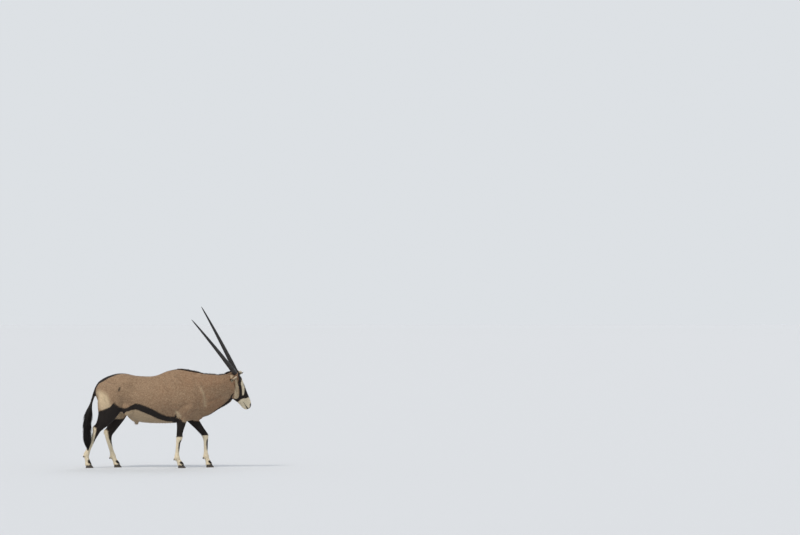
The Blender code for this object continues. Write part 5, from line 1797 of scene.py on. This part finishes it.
class GEMSBOK_OT_tail(bpy.types.Operator):
    """Hangs the long black locks of the tail's brush round the tail"""

    bl_idname = "gemsbok.tail"
    bl_label = "Tail brush"

    def execute(self, context):
        draw = np.random.default_rng(SEED + 3)
        count, steps = sizes().brush_locks, 9
        order = (np.arange(count) + draw.uniform(0, 1, count)) / count
        top = TAIL_HAIR_TOP + 0.03 - 0.43 * order**1.1
        length = draw.uniform(0.20, 0.34, count)
        late = ramp(order, 0.55, 1.0)
        length = length * (1 - late) + (top - TAIL_TIP_Z - draw.uniform(-0.004, 0.09, count)) * late
        length = np.minimum(length, top - TAIL_TIP_Z)
        angle = draw.uniform(0, 2 * math.pi, count)
        shell = draw.uniform(0.25, 1.0, count) ** 0.6
        t = np.linspace(0, 1, steps + 1)[None]
        z = top[:, None] - length[:, None] * t
        half = brush_half(z)
        close = 1 - 0.60 * ramp(t, 0.65, 1.0) * late[:, None]
        root = np.minimum(0.012, half)
        offset = (root + (half * shell[:, None] - root) * t**0.8) * close * 0.97
        wave = angle[:, None] + 0.25 * np.sin(3.0 * t + draw.uniform(0, 6, (count, 1))) * t
        out = np.stack([np.cos(wave), np.sin(wave), np.zeros_like(wave)], axis=-1)
        spine = tail_spine(z) + out * offset[:, :, None]
        away = np.stack([np.cos(angle), np.sin(angle), np.zeros(count)], axis=1)
        across = np.cross(away, (0.0, 0.0, 1.0))
        taper = np.interp(np.arange(steps) / steps, (0, 0.3, 0.7, 1), (0.6, 1.0, 0.75, 0.3))
        widths = draw.uniform(0.0034, 0.0070, count)[:, None] * taper
        thing, size = locks("tail_brush", spine, across, away, widths, widths * 0.4)
        spread(thing.data, size, shade=draw.uniform(0, 1, count))
        patches(thing.data, size, skin_plan().at(spine[:, 0]))
        hair = long_hair_material("tail_hair", linear("#0A0808"), linear("#120D0B"), 0.50)
        finish(thing, hair, "hair", "tail")
        return {"FINISHED"}


class GEMSBOK_OT_horns(bpy.types.Operator):
    """Grows the two long horns, ringed over their lower part and smooth above"""

    bl_idname = "gemsbok.horns"
    bl_label = "Horns"

    def ring(self, t, angles, strength, lean):
        """Round the horn at t: the angle, the swelling there, and how high on a ridge the place is."""
        ridges = sizes().horn_ridges
        fade = 1 - float(ramp(t, HORN_RINGED - 0.12, HORN_RINGED + 0.03))
        for angle in angles:
            phase = ridges * (t / HORN_RINGED) ** 0.93 + 0.10 * math.sin(angle)
            number = min(max(int(phase), 0), ridges + 1)
            phase += 0.05 * lean[number] * math.sin(angle * 2)
            share = phase % 1.0
            form = math.sin(math.pi * share / 0.80) ** 0.7 if share < 0.80 else 0.0
            form *= strength[number] * (0.80 + 0.20 * math.sin(angle))
            swell = (0.100 - 0.050 * t / HORN_RINGED) * fade * (form - 0.5)
            yield angle, swell, form * fade + (1 - fade) * 0.6

    def execute(self, context):
        made = horn_material()
        draw = np.random.default_rng(SEED + 4)
        angles = circle_angles(36)
        low, high = HORN_LEVELS
        ringed = np.linspace(0, HORN_RINGED + 0.04, low)
        levels = np.concatenate([ringed, np.linspace(HORN_RINGED + 0.045, 0.992, high)])
        for side in SIDES:
            way = horn_direction(side)
            root = sided(HORN_ROOT, side)
            forward = (Vector((0, 0, 1)) - way * way.z).normalized()
            across = way.cross(forward)
            length = HORNS[side][0]
            start = HORN_SEAT - 0.015
            strength = draw.uniform(0.65, 1.15, sizes().horn_ridges + 2)
            lean = draw.uniform(-0.5, 0.5, sizes().horn_ridges + 2)
            rings, state = [], []
            for t in levels:
                middle = root + way * (start + (length - start) * t) + forward * HORN_BOW * 4 * t * (1 - t)
                base = HORN_BASE_RADIUS * (1 - HORN_TAPER * t**1.25)
                base *= math.sqrt(max(1 - (max(t - 0.90, 0) / 0.10) ** 2, 0.02))
                points = []
                for angle, swell, ridge in self.ring(t, angles, strength, lean):
                    away = across * math.cos(angle) * HORN_FLATTEN + forward * math.sin(angle)
                    points.append(HEAD @ (middle + away * base * (1 + swell)))
                    state.append((ridge, t, math.cos(angle), math.sin(angle)))
                rings.append(points)
            thing = object_of(loft(rings), f"horn_{side}_sheath")
            mesh = thing.data
            ridge, along, right, front = np.array(state).T
            if len(mesh.vertices) != len(state):
                raise RuntimeError("a horn has other points than its rings")
            hold(mesh, "ridge", ridge)
            hold(mesh, "along", along)
            hold(mesh, "grain", np.stack([right * 0.028, front * 0.028, along * length * 0.08], axis=1))
            with opened(mesh) as bm:
                bm.verts.ensure_lookup_table()
                tip = bm.verts[-len(angles) :]
                bmesh.ops.pointmerge(bm, verts=tip, merge_co=HEAD @ (root + way * length))
            finish(thing, made, "horn", f"horn_{side}")
        return {"FINISHED"}


def ear_half(t):
    """Half the ear's width, from its root at 0 through its widest part to its tip at 1."""
    leaf = EAR_ROOT_HALF + EAR_SWELL * math.sin(math.pi * min(t / 0.9, 1.0) ** 0.85)
    return leaf * (1 - 0.78 * max(t - 0.55, 0) / 0.45)


class GEMSBOK_OT_ears(bpy.types.Operator):
    """Makes the two leaf-shaped ears with their short hair outside and long hair inside"""

    bl_idname = "gemsbok.ears"
    bl_label = "Ears"

    def section(self, side, t):
        """The ring of an ear at t, and for each point its depth in the cup, if inside, and its side."""
        way = EAR_AIM[side]
        front = (EAR_FRONT - way * way.dot(EAR_FRONT)).normalized()
        across = way.cross(front)
        half = ear_half(max(t, 0))
        cup = half * (0.95 - 0.35 * t)
        closed = max(1 - t / EAR_CLOSED, 0.0)
        wall = (EAR_WALL - 0.0016 * t) + 0.016 * closed
        middle = sided(EAR_ROOT, side) + way * (EAR_SEAT + (EAR_LENGTH - EAR_SEAT) * t)
        middle += front * EAR_BEND * math.sin(math.pi * max(t, 0)) + EAR_CURL[side] * max(t, 0) ** 2.2
        points, state = [], []
        for k in (*range(EAR_ARC + 1), *range(EAR_ARC - 1, 0, -1)):
            inside = len(points) > EAR_ARC
            angle = math.pi * k / EAR_ARC
            turn, sideways = math.sin(angle), math.cos(angle)
            if inside:
                deep = max(cup - wall, 0.0) * turn - 0.014 * closed
                points.append(middle - across * (wall - half) * sideways - front * deep)
            else:
                points.append(middle + across * half * sideways - front * cup * turn)
            state.append((turn, float(inside), sideways))
        return [HEAD @ point for point in points], state

    def colours_at(self, t, state):
        """Rim, tip, inner and streak shares at a place of the ear."""
        turn, inner, sideways = state.T
        rim = np.maximum(1 - ramp(turn, 0.10, 0.42), 0) * ramp(t, 0.02, 0.10)
        tip = ramp(t, 0.76, 0.88)
        lines = bell((np.abs(sideways), 0.52, 0.13)) * ramp(t, 0.05, 0.2)
        lines = np.maximum(lines * (0.12 + 0.75 * inner), inner * bell((sideways, 0, 0.14)) * 0.8)
        return {"rim": rim, "tip": tip, "inner": inner, "streak": lines * (1 - ramp(t, 0.85, 0.95))}

    def execute(self, context):
        draw = np.random.default_rng(SEED + 5)
        hide, hair = ear_material("ear_hide"), ear_material("ear_hair")
        shares = np.concatenate([(-0.10, -0.05), np.linspace(0, 0.985, 34)])
        for side in SIDES:
            rings, states = zip(*(self.section(side, float(t)) for t in shares))
            thing = object_of(loft(rings), f"ear_{side}_hide")
            grid = np.array(rings)
            along = np.repeat(shares, grid.shape[1])
            for name, values in self.colours_at(along, np.concatenate(states)).items():
                hold(thing.data, name, values)
            finish(thing, hide, "hide", f"ear_{side}")
            for part in EAR_HAIR:
                self.tufts(side, part, grid, shares, draw, hair)
        return {"FINISHED"}

    def tufts(self, side, part, grid, shares, draw, hair):
        """Hair on the outside of the cup, or longer hair that crosses it from the rims."""
        inside = part == "inner"
        count, length, width = EAR_HAIR[part]
        row = draw.uniform(2.2, len(grid) - 1.6, count)
        if inside:
            turn = np.where(draw.uniform(0, 1, count) < 0.5, 0.0, 1.0) + draw.normal(size=count) * 0.10
            turn = np.clip(np.abs(turn), 0.04, 0.96)
            column = 2 * EAR_ARC - turn * EAR_ARC
        else:
            turn = draw.uniform(0, 1, count)
            column = turn * EAR_ARC
        low, rest = row.astype(int), (row % 1)[:, None]
        here = column.astype(int) % (2 * EAR_ARC)
        after = (here + 1) % (2 * EAR_ARC)
        share = (column % 1)[:, None]
        start, end = (grid[r, here] * (1 - share) + grid[r, after] * share for r in (low, low + 1))
        roots = start * (1 - rest) + end * rest
        ways = unit(end - start)
        around = unit(grid[low, after] - grid[low, here])
        out = unit(np.cross(around, ways))
        centre = grid.mean(axis=1)[low]
        out = out * np.sign(np.sum(out * (roots - centre)))
        angle = math.pi * np.clip(turn, 0, 1)
        state = np.stack([np.sin(angle), np.full(count, float(inside)), np.cos(angle)], axis=1)
        found = self.colours_at(np.interp(row, np.arange(len(shares)), shares), state)
        if inside:
            over = -np.cos(angle)[:, None] * unit(grid[low, 0] - grid[low, EAR_ARC])
            start = unit(ways * 0.8 + over * 0.7)
            sag = over * 0.25 + ways * 0.15
            found["rim"] = np.full(count, 0.85)
            found["inner"] = np.zeros(count)
            out = -out
        else:
            start = unit(ways + 0.08 * out + 0.10 * draw.normal(size=(count, 3)))
            sag = -out * 0.04
        reach = length * draw.uniform(0.7, 1.2, count) * (1.1 - 0.5 * row / len(grid))
        spine = curled(roots - (0 if inside else 0.0004) * out, start, reach, sag, 3)
        across = unit(np.cross(start, out))
        widths = width * draw.uniform(0.7, 1.2, count)[:, None] * np.array((1.0, 0.8, 0.5))
        thing, size = locks(f"ear_{side}_{part}", spine, across, out, widths, widths * 0.22)
        spread(thing.data, size, **found)
        patches(thing.data, size, np.stack([column / (2 * EAR_ARC), row / len(grid)], axis=1))
        finish(thing, hair, "hair")
        if not inside:
            lit_as(thing.data, size, out, across, 0.4)


class GEMSBOK_OT_eyes(bpy.types.Operator):
    """Sets the two dark glossy eyes with their level pupils, and their lashes"""

    bl_idname = "gemsbok.eyes"
    bl_label = "Eyes"

    def globe(self, side):
        """An eyeball with its cornea, which holds where its pupil, its iris and the iris's spokes are."""
        middle, long, up, out = eye_axes(side)
        bm = bmesh.new()
        bmesh.ops.create_uvsphere(bm, u_segments=64, v_segments=48, radius=EYE_RADIUS)
        turn = Matrix((Vector(long), Vector(up), Vector(out))).transposed().to_4x4()
        bmesh.ops.transform(bm, matrix=turn, verts=bm.verts[:])
        thing = object_of(bm, f"eye_{side}_globe")
        mesh = thing.data
        places = places_of(mesh)
        along, rise, depth = (places @ axis for axis in (long, up, out))
        off = np.hypot(along, rise)
        level = HEAD_TURN[0] - out * (HEAD_TURN[0] @ out)
        level /= np.linalg.norm(level)
        wide, tall = places @ level, places @ np.cross(out, level)
        pupil = np.maximum(np.abs(wide) / PUPIL_HALF[0], np.abs(tall) / PUPIL_HALF[1])
        hold(mesh, "pupil", 1 - ramp(pupil, 0.85, 1.10))
        hold(mesh, "iris", 1 - ramp(off, *IRIS_EDGE))
        hold(mesh, "spoke", np.arctan2(rise, along))
        bulge = CORNEA_RISE * (1 - ramp(off, *CORNEA_EDGE)) * (depth > 0)
        move_to(mesh, from_head(places + np.outer(bulge, out) + middle))
        with opened(mesh) as bm:
            bmesh.ops.recalc_face_normals(bm, faces=bm.faces[:])
        return thing

    def lashes(self, side, draw, hair):
        """The lashes along both lids, longer on the upper one."""
        count = LASH_COUNT
        middle, long, up, out = eye_axes(side)
        share = np.linspace(-0.86, 0.92, count) + draw.uniform(-0.01, 0.01, count)
        upper = draw.uniform(0, 1, count) < 0.72
        height = np.where(upper, EYE_OPENING[1] * UPPER_LID, -EYE_OPENING[1] * LOWER_LID)
        height = height * np.sqrt(1 - share**2) * (1 - 0.12 * share**2)
        flat = np.outer(share * EYE_OPENING[0], long) + np.outer(height * 1.06, up)
        deep = np.sqrt(np.maximum((EYE_RADIUS + LID * 0.8) ** 2 - np.sum(flat**2, axis=1), 0))
        roots = from_head(middle + flat + np.outer(deep, out))
        ways = np.outer(np.ones(count), out) + np.outer(np.where(upper, 0.25, -0.5), up)
        ways += np.outer(share * 0.5, long) + 0.08 * draw.normal(size=(count, 3))
        ways = unit(ways @ HEAD_TURN.T)
        curl = np.outer(np.where(upper, 0.25, -0.2), up) @ HEAD_TURN.T
        length = np.where(upper, 0.0105, 0.0060) * draw.uniform(0.75, 1.15, count)
        spine = curled(roots, ways, length, curl, 4)
        widths = LASH_WIDTH * np.ones((count, 1)) * np.array((1.0, 0.85, 0.65, 0.4))
        across = unit(np.cross(ways, curl))
        thing, size = locks(f"lashes_{side}", spine, across, unit(curl), widths, widths * 0.8)
        spread(thing.data, size, shade=draw.uniform(0, 1, count))
        finish(thing, hair, "hair")

    def execute(self, context):
        draw = np.random.default_rng(SEED + 6)
        made = eye_material()
        lash = long_hair_material("lash_hair", linear("#0C0A0A"), linear("#1A1412"), 0.45)
        for side in SIDES:
            finish(self.globe(side), made, "eye", f"eye_{side}")
            self.lashes(side, draw, lash)
        return {"FINISHED"}


# Levels of a hoof from the sole up: height, how far forward its middle lies, and shares of length and width
HOOF_LEVELS = (
    (0.0, 0.010, 0.97, 0.93),
    (0.0015, 0.010, 1.01, 0.98),
    (0.006, 0.009, 1.01, 1.00),
    (0.024, 0.002, 0.87, 0.97),
    (0.038, -0.003, 0.75, 0.91),
    (HOOF_HEIGHT, -0.006, 0.67, 0.86),
    (HOOF_HEIGHT + 0.004, -0.007, 0.58, 0.76),
)


class GEMSBOK_OT_hooves(bpy.types.Operator):
    """Makes the two claws of each foot and the dewclaws behind each fetlock"""

    bl_idname = "gemsbok.hooves"
    bl_label = "Hooves"

    def claw(self, name, rows, way):
        """One claw, with a flat sole, a sloping toe wall, a flat cleft side and a bulb at the heel."""
        x, y = rows[-2][:2]
        rings = []
        for z, lead, length, width in catmull(HOOF_LEVELS, 5):
            ring = []
            for angle in circle_angles(44):
                along, out = math.cos(angle), math.sin(angle)
                reach = HOOF_TOE if along > 0 else HOOF_HEEL
                half = HOOF_OUTER if out * way > 0 else HOOF_INNER
                half *= 1 - 0.35 * max(along, 0) ** 2
                bulb = 1 + 0.04 * math.exp(-((along + 0.75) ** 2) / 0.06) * (1 - z / HOOF_HEIGHT)
                rise = length if along > 0 else length - HEEL_SLOPE * z / HOOF_HEIGHT
                across = way * HOOF_OFFSET + squared(out, 2.3) * half * width * bulb
                ring.append((x + lead + along * reach * rise, y + across, max(z, 0.0)))
            rings.append(ring)
        return object_of(loft(rings), name)

    def execute(self, context):
        made = hoof_material()
        for leg, (rows, _, fetlock) in LEGS.items():
            side = math.copysign(1, rows[fetlock][1])
            for label, way in (("outer", side), ("inner", -side)):
                name = f"hoof_{leg}_{label}"
                finish(self.claw(f"{name}_horn", rows, way), made, "hoof", name)
                place = by_fetlock(rows[fetlock], way, DEWCLAW[0])
                turn = pitch(24) @ Matrix.Rotation(0.3 * way, 4, "X")
                finish(ball(f"dewclaw_{leg}_{label}", place, DEWCLAW[1], turn), made, "hoof")
        return {"FINISHED"}


class GEMSBOK_OT_stage(bpy.types.Operator):
    """Lays the pale floor and sets the soft studio light and the camera"""

    bl_idname = "gemsbok.stage"
    bl_label = "Stage"

    def execute(self, context):
        bm = bmesh.new()
        bmesh.ops.create_grid(bm, x_segments=40, y_segments=40, size=150.0)
        floor = object_of(bm, "floor")
        look = Surface("pale_floor", Roughness=0.8, Specular_IOR_Level=0.2, Base_Color=rgba(colours().floor))
        floor.data.materials.append(look.done())
        floor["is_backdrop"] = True

        # The floor's colour is chosen so that under these lights it is as bright as the world behind it
        world = bpy.data.worlds.new("studio")
        world.use_nodes = True
        inputs = world.node_tree.nodes["Background"].inputs
        inputs["Color"].default_value = rgba(linear("#E2E6EA"))
        inputs["Strength"].default_value = 0.95
        context.scene.world = world
        context.scene.view_settings.view_transform = "Standard"
        aim = Vector((0.0, 0.0, 0.8))
        for name, place, softness, power, tint in (
            ("key", (-2.4, -3.6, 6.4), 0.28, 1.80, "#FFF6EA"),
            ("back", (1.5, 5.2, 4.6), 0.60, 0.60, "#F4F7FF"),
        ):
            light = bpy.data.lights.new(name, "SUN")
            light.angle = softness
            light.energy = power
            light.color = linear(tint)
            lamp = placed(name, light)
            lamp.location = place
            lamp.rotation_euler = (aim - Vector(place)).to_track_quat("-Z", "Y").to_euler()
            lamp.visible_camera = False

        # The photo is taken from far off, level, and shows 9.6 m of the animal's plane from side to side
        away, view_wide, sensor = 60.0, 9.6, 36.0
        lens = bpy.data.cameras.new("camera")
        lens.sensor_width = sensor
        lens.lens = sensor * away / view_wide
        lens.clip_end = 1000.0
        camera = placed("camera", lens)
        camera.location = (2.801, -away, 2.406)
        camera.rotation_euler = (math.radians(90), 0, 0)
        context.scene.camera = camera
        return {"FINISHED"}


class GEMSBOK_PT_panel(bpy.types.Panel):
    """Lists the pieces of the gemsbok"""

    bl_idname = "GEMSBOK_PT_panel"
    bl_label = "Gemsbok"
    bl_space_type = "VIEW_3D"
    bl_region_type = "UI"
    bl_category = "Gemsbok"

    def draw(self, context):
        for piece in PIECES:
            self.layout.operator(piece.bl_idname)


# The operators in the order that builds the model: the coat and fringes need the skin
PIECES = (
    GEMSBOK_OT_stage,
    GEMSBOK_OT_skin,
    GEMSBOK_OT_coat,
    GEMSBOK_OT_mane,
    GEMSBOK_OT_tail,
    GEMSBOK_OT_horns,
    GEMSBOK_OT_ears,
    GEMSBOK_OT_eyes,
    GEMSBOK_OT_hooves,
)
CLASSES = (GemsbokColours, GemsbokSizes, *PIECES, GEMSBOK_PT_panel)


def register():
    """Makes the operators, the panel and the settings known."""
    for part in CLASSES:
        bpy.utils.register_class(part)
    bpy.types.Scene.gemsbok_colours = bpy.props.PointerProperty(type=GemsbokColours)
    bpy.types.Scene.gemsbok_sizes = bpy.props.PointerProperty(type=GemsbokSizes)


def unregister():
    """Takes them away again."""
    del bpy.types.Scene.gemsbok_sizes
    del bpy.types.Scene.gemsbok_colours
    for part in reversed(CLASSES):
        bpy.utils.unregister_class(part)


def main():
    """Builds the whole model and works out its size and that of the CAD parts."""
    register()
    for piece in PIECES:
        family, name = piece.bl_idname.split(".")
        getattr(getattr(bpy.ops, family), name)()
    boxes = {"cad": CAD_BOX, "visual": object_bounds()}
    plain = {name: [[float(v) for v in corner] for corner in box] for name, box in boxes.items()}


if __name__ == "__main__":
    main()
